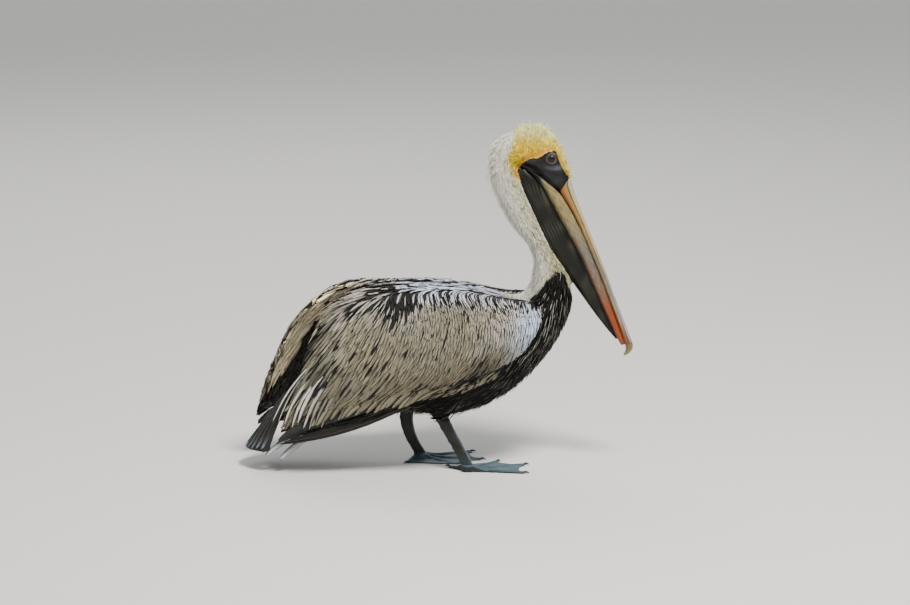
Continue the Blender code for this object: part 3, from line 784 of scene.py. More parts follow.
# The line in the gap between the wings below which their inner sides are dark: partly black plumage, partly
# painted shade.
GAP_LINE = [(0.028, 0.125), (0.034, 0.165), (0.048, 0.205), (0.078, 0.246), (0.114, 0.282), (0.149, 0.338),
            (0.181, 0.408), (0.205, 0.436), (0.240, 0.452), (0.320, 0.464), (0.900, 0.465)]


def facing_in(points, normals):
    """1 on the rear parts of the wings that face each other."""
    rear = fade(shares_of(points)[0], 0.27, 0.36)
    return ease(-normals[:, 1] * np.sign(points[:, 1]), 0.15, 0.50) * rear


def wing_dark(points, normals, name):
    """1 in the deep gap between the wings and beneath them, painted dark: partly black plumage, partly
    painted shade.
    """
    out = OUT[name.split("_")[1]]
    inner = np.maximum(fade(points[:, 1] * out, *WING_INNER), facing_in(points, normals))
    return inner * ease(line_height(points, GAP_LINE) - points[:, 2], -0.003, 0.003)


def skin_markings(points, normals, owners):
    """Colour and roughness of the skin, with the coat's markings and painted shade under it, and painted
    sheen, highlights and shade of its own.
    """
    count = len(points)
    colours = np.tile(SKIN_UNDER_COAT, (count, 1))
    gloss = np.full(count, 0.6)
    for name in WING_NODES:
        mine = is_node(owners, name)
        # The skin under the wings carries the same black and painted shade.
        colours[mine] = mix(UNDER_SILVER, UNDER_BLACK_AND_SHADE, wing_dark(points, normals, name))[mine]
    neck = is_node(owners, "neck_lower", "neck_upper")
    colours[neck] = mix(UNDER_WHITE, BROWN_BLACK, ease(black_depth(points), -0.004, 0.004))[neck]
    trunk = is_node(owners, "trunk", "thigh_right", "thigh_left")
    colours[trunk] = UNDER_BREAST
    head = is_node(owners, "head")
    colours[head] = UNDER_HEAD
    colours[head & in_crown(points)] = UNDER_CROWN
    pouch = is_node(owners, "pouch")
    worn = patches(points * np.array((1.0, 1.0, 0.35)), 0.0045, 3.0)
    # Lighter streaks on the pouch: a painted highlight on the crests of its folds, with pale mottling of its
    # own.
    streaks = np.clip(0.55 * pouch_folds(points) ** 4 + 0.22 * worn**3, 0, 1)
    colours[pouch] = mix(POUCH_DARK, POUCH_PALE_AND_HIGHLIGHT, streaks)[pouch]
    face = head & in_face(points)
    gloss[pouch | face] = 0.42
    eye = EYES["right"]
    # Painted sheen on the bare face: lighter blue-grey patches, strongest below the eye.
    below = np.hypot((points[:, 0] - eye[0] - 0.004) / 0.017, (points[:, 2] - eye[2] + 0.015) / 0.006)
    sheen = patches(points, 0.005, 4.0) * (0.45 + 0.55 * fade(below, 0.4, 1.2))
    colours[face] = mix(SLATE, SLATE_PAINTED_SHEEN, 0.9 * sheen**2)[face]
    for side in SIDES:
        eye, out = EYES[side], OUT[side]
        reach = np.hypot(points[:, 0] - eye[0], points[:, 2] - eye[2])
        near = head * (points[:, 1] * out > 0.01)
        spots = patches(points, 0.0011, 6.0)
        front = 0.45 + 0.55 * ease(points[:, 0] - eye[0], -0.004, 0.006)
        colours = mix(colours, RING_SKIN, 0.8 * near * fade(np.abs(reach - 0.0072), 0.0008, 0.0020))
        colours = mix(colours, RING_PALE, front * spots * near * fade(np.abs(reach - 0.0080), 0.0004, 0.0012))
        colours = mix(colours, LID_DARK, near * fade(reach, 0.0056, 0.0064))
    legs = is_node(owners, *LEG_NODES)
    colours[legs] = leg_colours(points, normals)[legs]
    gloss[legs] = 0.5
    return colours, gloss


def leg_colours(points, normals):
    """Brown shanks with a painted highlight down the front, and blue-grey feet, paler on top as painted
    light.
    """
    foot = fade(points[:, 2], 0.010, 0.030)
    tone = patches(points, 0.006, 2.0)
    # Upward faces of the feet are paler blue: painted light from above on their blue-grey tone.
    blue = foot * (0.30 * tone + 0.60 * ease(normals[:, 2], 0.2, 0.9)) + (1 - foot) * 0.10 * tone
    colours = mix(LEG_DARK, LEG_PALE, np.clip(blue, 0, 1))
    # A painted highlight down the front edge of the shank.
    front = ease(normals[:, 0], 0.45, 0.90) * fade(points[:, 2], 0.060, 0.090)
    front = front * ease(points[:, 2], 0.006, 0.014)
    colours = mix(colours, LEG_FRONT_HIGHLIGHT, 0.8 * front * (0.6 + 0.4 * tone))
    # Painted shade in the grooves between the scutes down the front of the shank.
    scale_gap = (1 - scute_rows(points)) * ease(points[:, 2], 0.012, 0.024)
    return mix(colours, LEG_GROOVE_SHADE, 0.45 * scale_gap * ease(normals[:, 0], 0.0, 0.5))


SCUTE = 0.0042  # height of one row of scutes down the front of the shank


def scute_rows(points):
    """1 on the middle of each row of scutes and 0 in the grooves between them."""
    return np.abs(np.sin(math.pi * (points[..., 2] - 0.45 * points[..., 0]) / SCUTE)) ** 0.6


def sculpt_legs(mesh):
    """Rounds the shanks, and cuts scutes down their fronts and across the toes."""
    points, edges = points_of(mesh), edges_of(mesh)
    shank = ease(points[:, 2], 0.020, 0.034)
    points = relaxed(points, edges, 14, 0.5 * shank)
    move_points(mesh, points)
    normals = points_of(mesh, "normal")
    front = ease(normals[:, 0], 0.10, 0.60) * shank
    behind = ease(-normals[:, 0], 0.30, 0.80) * shank
    toes = ease(normals[:, 2], 0.50, 0.90) * (1 - shank) * ease(points[:, 2], 0.005, 0.009)
    across = np.abs(np.sin(math.pi * points[:, 0] / 0.0036)) ** 0.6
    knobs = patches(points, 0.0034, 3.0)
    grown = 0.0004 * shank + 0.0006 * front * (scute_rows(points) - 0.5) + 0.0012 * behind * knobs**2
    grown = grown + 0.0004 * toes * (across - 0.5) + 0.00022 * wobble(points, 0.0009, 5.0)
    points = points + normals * grown[:, None]
    points[:, 2] = np.maximum(points[:, 2], 0.0002)
    move_points(mesh, points)


def along_edges(mesh, steps):
    """Places spread along all the edges of a mesh."""
    points, edges = points_of(mesh), edges_of(mesh)
    shares = np.linspace(0, 1, steps)[:, None, None]
    return (points[edges[:, 0]] * (1 - shares) + points[edges[:, 1]] * shares).reshape(-1, 3)


# ---------------------------------------------------------------- the lie of the coat

# Guides in the side view: shares of the bird's box, and the heading of the feather tips in
# degrees, with 0 towards the bill and 270 straight down.
WING_LIE = [
    (0.351, 0.526, 215), (0.300, 0.500, 222), (0.394, 0.540, 255), (0.395, 0.505, 265),
    (0.427, 0.517, 282), (0.504, 0.524, 296), (0.580, 0.516, 296), (0.657, 0.503, 290),
    (0.710, 0.490, 280), (0.504, 0.434, 257), (0.605, 0.459, 264), (0.732, 0.459, 262),
    (0.735, 0.400, 250), (0.656, 0.348, 243), (0.580, 0.304, 228), (0.490, 0.262, 215),
    (0.403, 0.225, 207), (0.403, 0.324, 236), (0.403, 0.420, 250), (0.276, 0.291, 236),
    (0.224, 0.229, 232), (0.196, 0.432, 232), (0.250, 0.398, 234), (0.301, 0.427, 238),
    (0.145, 0.267, 238), (0.110, 0.160, 238), (0.300, 0.210, 214), (0.510, 0.350, 248),
]
BACK_LIE = [
    (0.740, 0.500, 178), (0.600, 0.530, 178), (0.450, 0.540, 182), (0.350, 0.535, 190),
    (0.270, 0.520, 203), (0.220, 0.510, 212), (0.170, 0.468, 224), (0.130, 0.330, 236),
    (0.100, 0.180, 240),
]
BREAST_LIE = [
    (0.800, 0.575, 255), (0.771, 0.501, 240), (0.810, 0.499, 258), (0.842, 0.488, 274),
    (0.850, 0.440, 262), (0.825, 0.400, 250), (0.800, 0.370, 240), (0.760, 0.323, 232),
    (0.734, 0.296, 229), (0.657, 0.243, 218), (0.580, 0.216, 206), (0.504, 0.193, 198),
    (0.452, 0.168, 190), (0.350, 0.165, 180), (0.220, 0.200, 168), (0.130, 0.230, 170),
    (0.700, 0.440, 235),
]
NECK_LIE = [
    (0.649, 0.899, 268), (0.625, 0.860, 268), (0.682, 0.785, 290), (0.720, 0.698, 298),
    (0.759, 0.626, 290), (0.745, 0.560, 252), (0.722, 0.530, 228), (0.810, 0.665, 300),
    (0.828, 0.592, 288), (0.842, 0.517, 272), (0.690, 0.880, 275),
]
HEAD_LIE = [
    (0.827, 0.921, 15), (0.832, 0.877, -8), (0.801, 0.965, 48), (0.763, 0.985, 78), (0.714, 0.985, 108),
    (0.683, 0.956, 138), (0.675, 0.906, 186), (0.688, 0.863, 218), (0.734, 0.921, 112), (0.773, 0.935, 76),
    (0.711, 0.886, 190), (0.801, 0.921, 28), (0.655, 0.850, 245),
]
GAP_LIE = [  # on the inner faces of the folded wings, behind the back
    (0.268, 0.530, 204), (0.203, 0.485, 213), (0.147, 0.395, 226), (0.106, 0.350, 232), (0.085, 0.270, 235),
    (0.050, 0.190, 243), (0.035, 0.130, 255),
]
GUIDE_SOFTNESS = 0.012  # within this distance a guide takes over smoothly from the others


def heading(guides, points):
    """The lie at each point as an (x, z) direction, blended from the nearest guides."""
    table = np.array(guides, float)
    x, z = at(table[:, 0], table[:, 1])
    turns = np.radians(table[:, 2])
    away = (points[:, None, 0] - x) ** 2 + (points[:, None, 2] - z) ** 2
    weight = 1.0 / (away + GUIDE_SOFTNESS**2) ** 2
    flat = np.column_stack([(weight * np.cos(turns)).sum(1), (weight * np.sin(turns)).sum(1)])
    return unit(flat)


def on_surface(flat, normals):
    """A unit direction along the surface that looks like a given (x, z) one from the side."""
    out = np.column_stack([flat[:, 0], np.zeros(len(flat)), flat[:, 1]])
    lean = (out * normals).sum(1)
    wanted = np.clip(lean * normals[:, 1] / (normals[:, 1] ** 2 + 0.10), -0.9, 0.9)
    out[:, 1] -= wanted * fade(-normals[:, 2], 0.45, 0.80)
    out -= (out * normals).sum(1)[:, None] * normals
    return unit(out)


def wing_flow(points, normals):
    """Over the wing the coat runs down and back, and beside the spine it runs back."""
    inner = fade(np.abs(points[:, 1]), 0.026, 0.042)
    flat = mix(heading(WING_LIE, points), heading(BACK_LIE, points), inner)
    flat = mix(flat, heading(GAP_LIE, points), facing_in(points, normals))
    return on_surface(unit(flat), normals)


def flow_from(guides):
    """The lie of a coat over a surface, from guides in the side view."""
    return lambda points, normals: on_surface(heading(guides, points), normals)


# ---------------------------------------------------------------- feathers


def scattered(points, gaps):
    """Which points to keep so that none is nearer to another than its own gap."""
    cell = float(gaps.max())
    keys = np.floor(points / cell).astype(int).tolist()
    steps = [(i, j, k) for i in (-1, 0, 1) for j in (-1, 0, 1) for k in (-1, 0, 1)]
    grid, kept = {}, []
    for index, (spot, key, gap) in enumerate(zip(points.tolist(), keys, (gaps**2).tolist())):
        free = True
        for i, j, k in steps:
            for other in grid.get((key[0] + i, key[1] + j, key[2] + k), ()):
                if (other[0] - spot[0]) ** 2 + (other[1] - spot[1]) ** 2 + (other[2] - spot[2]) ** 2 < gap:
                    free = False
                    break
            if not free:
                break
        if free:
            grid.setdefault(tuple(key), []).append(spot)
            kept.append(index)
    return np.array(kept)


class Coat:
    """A surface to grow feathers on."""

    def __init__(self, mesh):
        self.points, self.faces = points_of(mesh), triangles_of(mesh)
        self.normals = points_of(mesh, "normal")
        self.tree = tree_of(self.points, self.faces)
        corners = self.points[self.faces]
        crossed = np.cross(corners[:, 1] - corners[:, 0], corners[:, 2] - corners[:, 0])
        self.areas = np.linalg.norm(crossed, axis=1) / 2
        self.owners = owner_of(corners.mean(1))

    def roots(self, nodes, wanted, gap, seed):
        """Even but irregular root places on the skin of some nodes, where wanted() says so."""
        random = np.random.default_rng(seed)
        areas = np.where(is_node(self.owners, *nodes), self.areas, 0.0)
        smallest = float(np.min(gap(self.points[::97]))) if callable(gap) else gap
        tries = int(9 * areas.sum() / (0.7 * smallest**2))
        picked = random.choice(len(areas), tries, p=areas / areas.sum())
        a, b = random.random(tries), random.random(tries)
        a, b = np.where(a + b > 1, 1 - a, a), np.where(a + b > 1, 1 - b, b)
        weights = np.stack([1 - a - b, a, b], axis=1)[..., None]
        points = (self.points[self.faces[picked]] * weights).sum(1)
        normals = unit((self.normals[self.faces[picked]] * weights).sum(1))
        chosen = wanted(points, normals)
        points, normals = points[chosen], normals[chosen]
        gaps = gap(points) if callable(gap) else np.full(len(points), gap)
        kept = scattered(points, gaps)
        return points[kept], normals[kept]


# Distance between roots of each coat, or their share of a feather's half width on the wings.
SPACING = {"wing": 1.62, "breast": 0.0040, "back": 0.0062, "neck": 0.00165, "crown": 0.00135}
LOOSE = 0.006  # a feather further than this from the skin goes straight on
HANGING = 0.013  # and one whose tip ends further than this from it is cut shorter


def march(coat, points, normals, flow, reach, shares):
    """Places along each feather from its root to its tip, and the surface normals there."""
    spine, ups = [points], [normals]
    heads = flow(points, normals)
    for near, far in zip(shares, shares[1:]):
        there = spine[-1] + heads * (reach * (far - near))[:, None]
        place, up, _, gap = nearest(coat.tree, there)
        free = gap > LOOSE
        place[free], up[free] = there[free], ups[-1][free]
        up = unit(up + ups[-1])
        heads = unit(0.6 * flow(place, up) + 0.4 * heads)
        heads = unit(heads - (heads * up).sum(1)[:, None] * up)
        spine.append(place)
        ups.append(up)
    spine, ups = np.stack(spine, axis=1), np.stack(ups, axis=1)
    root, tip = spine[:, 0], spine[:, -1]
    crossing = (root[:, 1] * tip[:, 1] < 0) & (np.abs(root[:, 1]) > 0.010)
    hanging = nearest(coat.tree, tip)[3] > HANGING
    kept = np.where(crossing, 0.30, np.where(hanging, 0.50, 1.0))[:, None, None]
    return root[:, None] + (spine - root[:, None]) * kept, ups


def unwrapped(points, along=0, around=1.0):
    """Each place on an unwrap of its form: turned angle round an axis, and distance along it."""
    middle = (points.min(0) + points.max(0)) / 2
    first, second = [k for k in range(3) if k != along]
    turn = np.arctan2(points[:, second] - middle[second], points[:, first] - middle[first])
    low, high = points[:, along].min(), points[:, along].max()
    share = (points[:, along] - low) / max(high - low, 1e-6)
    return np.column_stack([0.004 + 0.99 * (turn / math.tau + 0.5) * around, 0.004 + 0.99 * share])


def vane_faces(count, stations):
    """Faces of closed three-sided vanes: left edge, ridge and right edge at each station."""
    per = 3 * (stations - 1) + 1
    quads, tris = [], [(0, 2, 1)]
    for k in range(stations - 2):
        left, ridge, right = 3 * k, 3 * k + 1, 3 * k + 2
        quads += [(left, ridge, ridge + 3, left + 3), (ridge, right, right + 3, ridge + 3),
                  (right, left, left + 3, right + 3)]
    left, ridge, right, tip = per - 4, per - 3, per - 2, per - 1
    tris += [(left, ridge, tip), (ridge, right, tip), (right, left, tip)]
    bases = (np.arange(count) * per)[:, None, None]
    quads = (np.array(quads).reshape(1, -1, 4) + bases).reshape(-1, 4)
    return quads, (np.array(tris)[None] + bases).reshape(-1, 3)


def vanes(name, spine, ups, half, profile, lift, tint, start, material, bake=None, camber=0.25, ridge=0.10):
    """One piece of many feathers.

    half is each feather's half width and profile the share of it at each station, lift the height
    over the skin and tint the colour there, and start the share of the half width where the dark
    rim begins, which is over 1 where there is none. bake is each root's place on the unwrap.
    """
    count, stations = spine.shape[:2]
    half = half[:, None] * profile[None]
    bake = unwrapped(spine[:, 0]) if bake is None else bake
    ahead = np.gradient(spine, axis=1)
    side = unit(np.cross(ahead, ups))
    middle = spine + ups * lift[..., None]
    drop = ups * (half * camber)[..., None]
    left = middle - side * half[..., None] - drop
    right = middle + side * half[..., None] - drop
    top = middle + ups * (half * ridge + 0.00015)[..., None]
    rows = np.stack([left, top, right], axis=2)[:, :-1].reshape(count, -1, 3)
    verts = np.concatenate([rows, top[:, -1:]], axis=1).reshape(-1, 3)
    quads, tris = vane_faces(count, stations)
    piece, corners = new_piece(name, verts, quads, tris, material)
    shares = np.linspace(0, 1, stations)
    across = np.tile([0.0, 0.5, 1.0], stations - 1)
    vane_uv = np.column_stack([np.append(across, 0.5), np.append(np.repeat(shares[:-1], 3), 1.0)])
    set_uv(piece.data, "Vane", corners, np.tile(vane_uv, (count, 1)))
    patch = bake[:, None, :] + (vane_uv[None] - 0.5) * 0.003
    set_uv(piece.data, "OFBake", corners, patch.reshape(-1, 2))
    colours = np.concatenate([np.repeat(tint[:, :-1], 3, axis=1), tint[:, -1:]], axis=1).reshape(-1, 3)
    starts = np.repeat(np.broadcast_to(start, count), 3 * (stations - 1) + 1)
    set_colour(piece.data, "tint", np.column_stack([colours, starts]))
    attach(piece, "root")
    return piece


# Sections of vanes: how far the rims droop and the ridge rises, as shares of the half width.
LONG_SECTION = {"camber": 0.16, "ridge": 0.08}
BLADE_SECTION = {"camber": 0.12, "ridge": 0.10}
TUFT_SECTION = {"camber": 0.15, "ridge": 0.35}
NO_RIM = 1.4
TUFT_START = 1.6  # tufts have no rim either


def outline(shares, root, blunt):
    """Half widths along a feather, 1 at its widest: narrow root, then a point or a round end."""
    rise = root + (1 - root) * ease(shares, 0.0, 0.35)
    return rise * np.maximum(1 - np.asarray(shares) ** blunt, 0.0) ** 0.6


def graded(root_colour, tip_colour, shares, power=1.0):
    """A colour at each station, from the root's to the tip's."""
    share = np.asarray(shares)[None, :, None] ** power
    return root_colour[:, None, :] * (1 - share) + tip_colour[:, None, :] * share


def vary(colours, random, amount):
    """The same colours, each a little lighter or darker."""
    return colours * np.exp(random.normal(0, 1, len(colours)) * amount)[:, None]


# ---------------------------------------------------------------- wings

FAN_CENTRE = (0.394, 0.528)  # share of the bird's box where the dark streaks of the shoulder spread from
# The lower border of the wing in the side view, as shares of the bird's box.
WING_EDGE = [(0.100, 0.123), (0.157, 0.158), (0.208, 0.182), (0.278, 0.198), (0.362, 0.2255), (0.491, 0.246),
             (0.602, 0.288), (0.704, 0.343), (0.754, 0.413), (0.790, 0.500)]


def over_edge(points):
    """How far above the lower border of the wing each point lies."""
    return points[..., 2] - line_height(points, WING_EDGE)


def wing_size(points):
    """Length and half width of the wing's feathers: small in front and above, large behind and below."""
    share_x = shares_of(points)[0]
    back = fade(share_x, 0.10, 0.52)
    front = ease(share_x, 0.60, 0.74)
    low = fade(over_edge(points), 0.035, 0.110)
    fan = blot(points, FAN_CENTRE[0], FAN_CENTRE[1], 0.040, 0.030)
    grown = np.clip(back + 0.35 * low, 0, 1) * (1 - 0.8 * fan)
    length = 0.024 + 0.030 * grown - 0.008 * front - 0.003 * fan
    half = 0.0023 + 0.0026 * grown - 0.0006 * front
    return length, half


STREAK_ROW = (0.42, 0.46, 0.50, 0.54, 0.58, 0.62, 0.66, 0.69)  # share_x of each clump in the streaked row


def streak_zone(points):
    """1 where the small coverts are black and white, under the top edge of the wing."""
    fan = blot(points, FAN_CENTRE[0] + 0.004, FAN_CENTRE[1] - 0.012, 0.034, 0.022)
    tail = 0.75 * blot(points, 0.335, 0.500, 0.045, 0.007, 24.0)
    row = 0.0
    for share_x in STREAK_ROW:
        row = np.maximum(row, blot(points, share_x, 0.520 - 0.10 * max(share_x - 0.5, 0), 0.020, 0.0085))
    return np.clip(np.maximum(np.maximum(fan, tail), 0.85 * row), 0, 1)


# Brown smudges of the right wing: strength, place in shares of the bird's box, reach and turn.
SMUDGES = [(1.0, 0.240, 0.325, 0.014, 0.030, 20.0), (0.9, 0.222, 0.295, 0.008, 0.026, 10.0),
           (1.0, 0.642, 0.372, 0.010, 0.020), (0.9, 0.616, 0.352, 0.009, 0.018)]


def wing_colours(points, normals, random, side, name):
    """Colour at the middle of each feather, and the share of its half width that keeps it."""
    count = len(points)
    share_x, share_z = shares_of(points)
    streaks = streak_zone(points)
    wrist = ease(share_x, 0.66, 0.758)
    inner = fade(np.abs(points[:, 1]), 0.030, 0.045)
    top = np.maximum(ease(share_z, 0.525, 0.545), inner * ease(share_z, 0.43, 0.49))
    top = top * ease(share_x, 0.22, 0.40)
    streaks = streaks * (1 - 0.65 * inner)
    # Lighter towards the front of the wing as painted light, and darker near its lower border as painted
    # shade.
    base = mix(SILVER, SILVER_FRONT_LIT, ease(share_x, 0.55, 0.72))
    base = mix(base, SILVER_LOW_SHADED, fade(over_edge(points), 0.030, 0.075))
    # The wing's top edge and wrist are paler: partly their own pale tone, partly a painted sky sheen, bluish
    # towards the front.
    cool = mix(SILVER_WARM, SILVER_COOL_SKY_SHEEN, ease(share_x, 0.36, 0.46))
    base = mix(base, cool, np.clip(0.95 * wrist + 0.95 * top, 0, 1))
    gap = facing_in(points, normals)
    # Painted light on the inner faces at the rear of the wings, which the lamps leave in shade.
    base = mix(base, SILVER_INNER_LIT, 0.95 * gap * (1 - top))
    base = vary(base, random, 0.15 + 0.07 * fade(share_x, 0.2, 0.5))
    warm = patches(points, 0.020, 3.0)
    base = base * mix(np.array((1.04, 1.0, 0.94)), np.array((0.97, 1.0, 1.05)), warm)
    base = mix(base, STREAK_WHITE, 0.75 * streaks)
    smudge = sum(strength * blot(points, *patch) for strength, *patch in SMUDGES)
    smudge = np.clip(smudge * (side == "right"), 0, 1) * random.uniform(0.45, 1.0, count)
    base = mix(base, SMUDGE_BROWN, smudge)
    # Downward faces near the lower border of the wing darken: painted shade beneath it.
    under = ease(-normals[:, 2], 0.35, 0.60) * fade(over_edge(points), 0.03, 0.05) * (share_x < 0.62)
    dark = np.maximum(wing_dark(points, normals, name), under)
    base = mix(base, BLACK_AND_GAP_SHADE, 0.97 * dark)
    drawn = random.random(count)
    rear = fade(share_x, 0.30, 0.48)
    plain = 0.42 - 0.27 * rear * (1 - gap) + 0.25 * gap
    start = np.where(drawn < plain, NO_RIM, np.where(drawn < plain + 0.30, 0.80, 0.58))
    start = np.where(random.random(count) < 1.2 * streaks, random.uniform(0.10, 0.42, count), start)
    start = np.where(dark > 0.5, 0.2, start)
    fan = blot(points, FAN_CENTRE[0] + 0.004, FAN_CENTRE[1] - 0.010, 0.030, 0.022)
    strays = 0.03 + 0.05 * rear * (1 - inner) * (1 - gap)
    black = random.random(count) < np.maximum(0.50 * streaks + 0.62 * fan, strays)
    base = mix(base, COVERT_BLACK, black)
    return base, start, streaks


def make_wing(coat, side, number):
    """The small and middle feathers of one wing."""
    nodes = [f"wing_{side}_coverts", f"wing_{side}_tertials"]
    out = OUT[side]

    def wanted(points, _):
        outer = points[:, 1] * out > 0.055
        return ~(outer & (over_edge(points) < 0.016) & (shares_of(points)[0] < 0.58))

    points, normals = coat.roots(nodes, wanted, lambda p: wing_size(p)[1] * SPACING["wing"], 100 + number)
    random = np.random.default_rng(200 + number)
    count = len(points)
    length, half = wing_size(points)
    length = length * random.uniform(0.85, 1.25, count)
    half = half * random.uniform(0.80, 1.20, count)
    below = ease(-normals[:, 2], 0.3, 0.8)
    length = length * (1 - 0.45 * below) * (1 - 0.5 * wing_dark(points, normals, nodes[0]))
    share_x, share_z = shares_of(points)
    length = length * (1 - 0.5 * fade(share_x, 0.04, 0.09) * fade(share_z, 0.20, 0.30))
    shares = np.array([0.0, 0.20, 0.45, 0.70, 0.88, 1.0])
    spine, ups = march(coat, points, normals, wing_flow, length, shares)
    lift = (0.0006 + 0.0040 * shares**0.8)[None] * random.uniform(0.75, 1.15, (count, 1))
    lift = lift * (1 - 0.6 * below)[:, None]
    base, start, streaks = wing_colours(points, normals, random, side, nodes[0])
    # Darker towards the roots as painted shade where the feathers overlap, and darker still in the streaked
    # zone.
    tint = graded(base * (0.74 - 0.45 * streaks[:, None]), base, shares, 0.5)
    piece = vanes(f"plumes_wing_{side}", spine, ups, half, outline(shares, 0.55, 3.0), lift, tint, start,
                  MATERIALS["silver"])


# ---------------------------------------------------------------- long feathers


def cast(coat, origins, direction):
    """Where rays meet a surface: places, normals and whether each one hit."""
    heading_of_ray = tuple(direction)
    found = [coat.tree.ray_cast(p, heading_of_ray, 0.5) for p in origins.tolist()]
    hit = np.array([f[0] is not None for f in found])
    places = np.array([f[0][:] if f[0] is not None else (0, 0, 0) for f in found])
    normals = np.array([f[1][:] if f[0] is not None else (0, 0, 1) for f in found])
    return places, normals, hit


def held(values, hit):
    """Fills stations that missed the surface from the nearest one that met it, tipwards first."""
    values, hit = values.copy(), hit.copy()
    order = list(range(1, values.shape[1]))
    for k, source in [(k, k - 1) for k in order] + [(k - 1, k) for k in reversed(order)]:
        fill = ~hit[:, k] & hit[:, source]
        values[fill, k] = values[fill, source]
        hit[fill, k] = True
    return values


def lay_on_side(coat, out, paths):
    """Lays paths drawn in the side view, as (feather, station, (x, z)), on one side of a surface."""
    count, stations = paths.shape[:2]
    far = np.full((count, stations), out * 0.3)
    origins = np.stack([paths[..., 0], far, paths[..., 1]], axis=-1).reshape(-1, 3)
    places, normals, hit = cast(coat, origins, (0.0, -out, 0.0))
    y, hit = places[:, 1].reshape(count, stations), hit.reshape(count, stations)
    normals = normals.reshape(count, stations, 3)
    hit &= y * out > 0.01
    y = held(y, hit)
    for k in range(1, stations):
        step = y[:, k] - y[:, k - 1]
        jump = np.abs(step) > 0.4 * np.linalg.norm(paths[:, k] - paths[:, k - 1], axis=1) + 0.003
        hit[jump, k] = False
        y[jump, k] = y[jump, k - 1]
    ups = held(normals, hit)
    ups[..., 1] = out * np.maximum(np.abs(ups[..., 1]), 0.35)
    spine = np.stack([paths[..., 0], y, paths[..., 1]], axis=-1)
    return spine, unit(ups)


def drawn_paths(roots, tips, sag, shares):
    """Curved paths in the side view between roots and tips, both given as (x, z)."""
    line = mix(roots[:, None], tips[:, None], np.broadcast_to(shares, (len(roots), len(shares))))
    chord = tips - roots
    normal = np.column_stack([-chord[:, 1], chord[:, 0]])
    return line + normal[:, None] * (sag * np.sin(math.pi * shares))[None, :, None]


def long_shares(stations):
    """Stations closer together towards the tip."""
    share = np.linspace(0, 1, stations)
    return 1 - (1 - share) ** 1.3


def make_greater_coverts(coat, side, number):
    """The row of long coverts along the lower border of the wing."""
    out = OUT[side]
    random = np.random.default_rng(500 + number)
    edge = np.array(WING_EDGE)
    count = 30
    tips_x = np.linspace(0.175, 0.635, count) + random.normal(0, 0.002, count)
    tips_z = np.interp(tips_x, edge[:, 0], edge[:, 1]) - 0.020 + random.normal(0, 0.003, count)
    turn = np.radians(np.interp(tips_x, (0.175, 0.35, 0.52, 0.635), (46, 34, 27, 40)))
    length = np.interp(tips_x, (0.175, 0.40, 0.635), (0.078, 0.074, 0.045))
    length = length * random.uniform(0.92, 1.08, count)
    tips = np.column_stack(at(tips_x, tips_z))
    roots = tips + np.column_stack([np.cos(turn), np.sin(turn)]) * length[:, None]
    shares = long_shares(11)
    spine, ups = lay_on_side(coat, out, drawn_paths(roots, tips, -0.06, shares))
    half = random.uniform(0.0062, 0.0072, count)
    lift = 0.0010 + 0.0036 * shares[None] * random.uniform(0.9, 1.1, (count, 1))
    # The long coverts take the darker silver of the wing's lower border: painted shade.
    base = vary(np.tile(SILVER_LOW_SHADED * 1.08, (count, 1)), random, 0.12)
    # Darker towards the roots: painted shade where the feathers overlap.
    tint = graded(base * 0.85, base, shares)
    start = random.uniform(0.66, 0.80, count)
    piece = vanes(f"greater_coverts_{side}", spine, ups, half, outline(shares, 0.6, 4.5), lift, tint, start,
                  MATERIALS["silver"], **LONG_SECTION)


TERTIAL_REACH = {"right": 0.082, "left": 0.092}  # share of the bird's length where the longest one ends


def make_tertials(coat, side, number):
    """Long pale feathers with dark edges at the rear corner of the wing."""
    out = OUT[side]
    random = np.random.default_rng(520 + number)
    count = 9
    order = np.linspace(0, 1, count)
    first = TERTIAL_REACH[side]
    tips_z = 0.146 + 0.004 * order + random.normal(0, 0.006, count)
    tips = np.column_stack(at(first + (0.200 - first) * order, tips_z))
    roots_z = 0.318 - 0.055 * order + random.normal(0, 0.006, count)
    roots = np.column_stack(at(0.168 + 0.080 * order, roots_z))
    shares = long_shares(13)
    spine, ups = lay_on_side(coat, out, drawn_paths(roots, tips, -0.05, shares))
    half = np.interp(order, (0, 0.4, 1), (0.0050, 0.0054, 0.0058)) * random.uniform(0.9, 1.1, count)
    lift = 0.0022 + 0.0030 * shares[None] + 0.0006 * order[:, None]
    pale = mix(TERTIAL_PALE, TERTIAL_DULL, ease(order, 0.45, 0.85))
    # Darker towards the roots: painted shade where the feathers overlap.
    tint = graded(pale * 0.8, vary(pale, random, 0.10), shares)
    start = random.uniform(0.30, 0.48, count)
    piece = vanes(f"tertials_{side}", spine, ups, half, outline(shares, 0.6, 4.0), lift, tint, start,
                  MATERIALS["silver"], **LONG_SECTION)


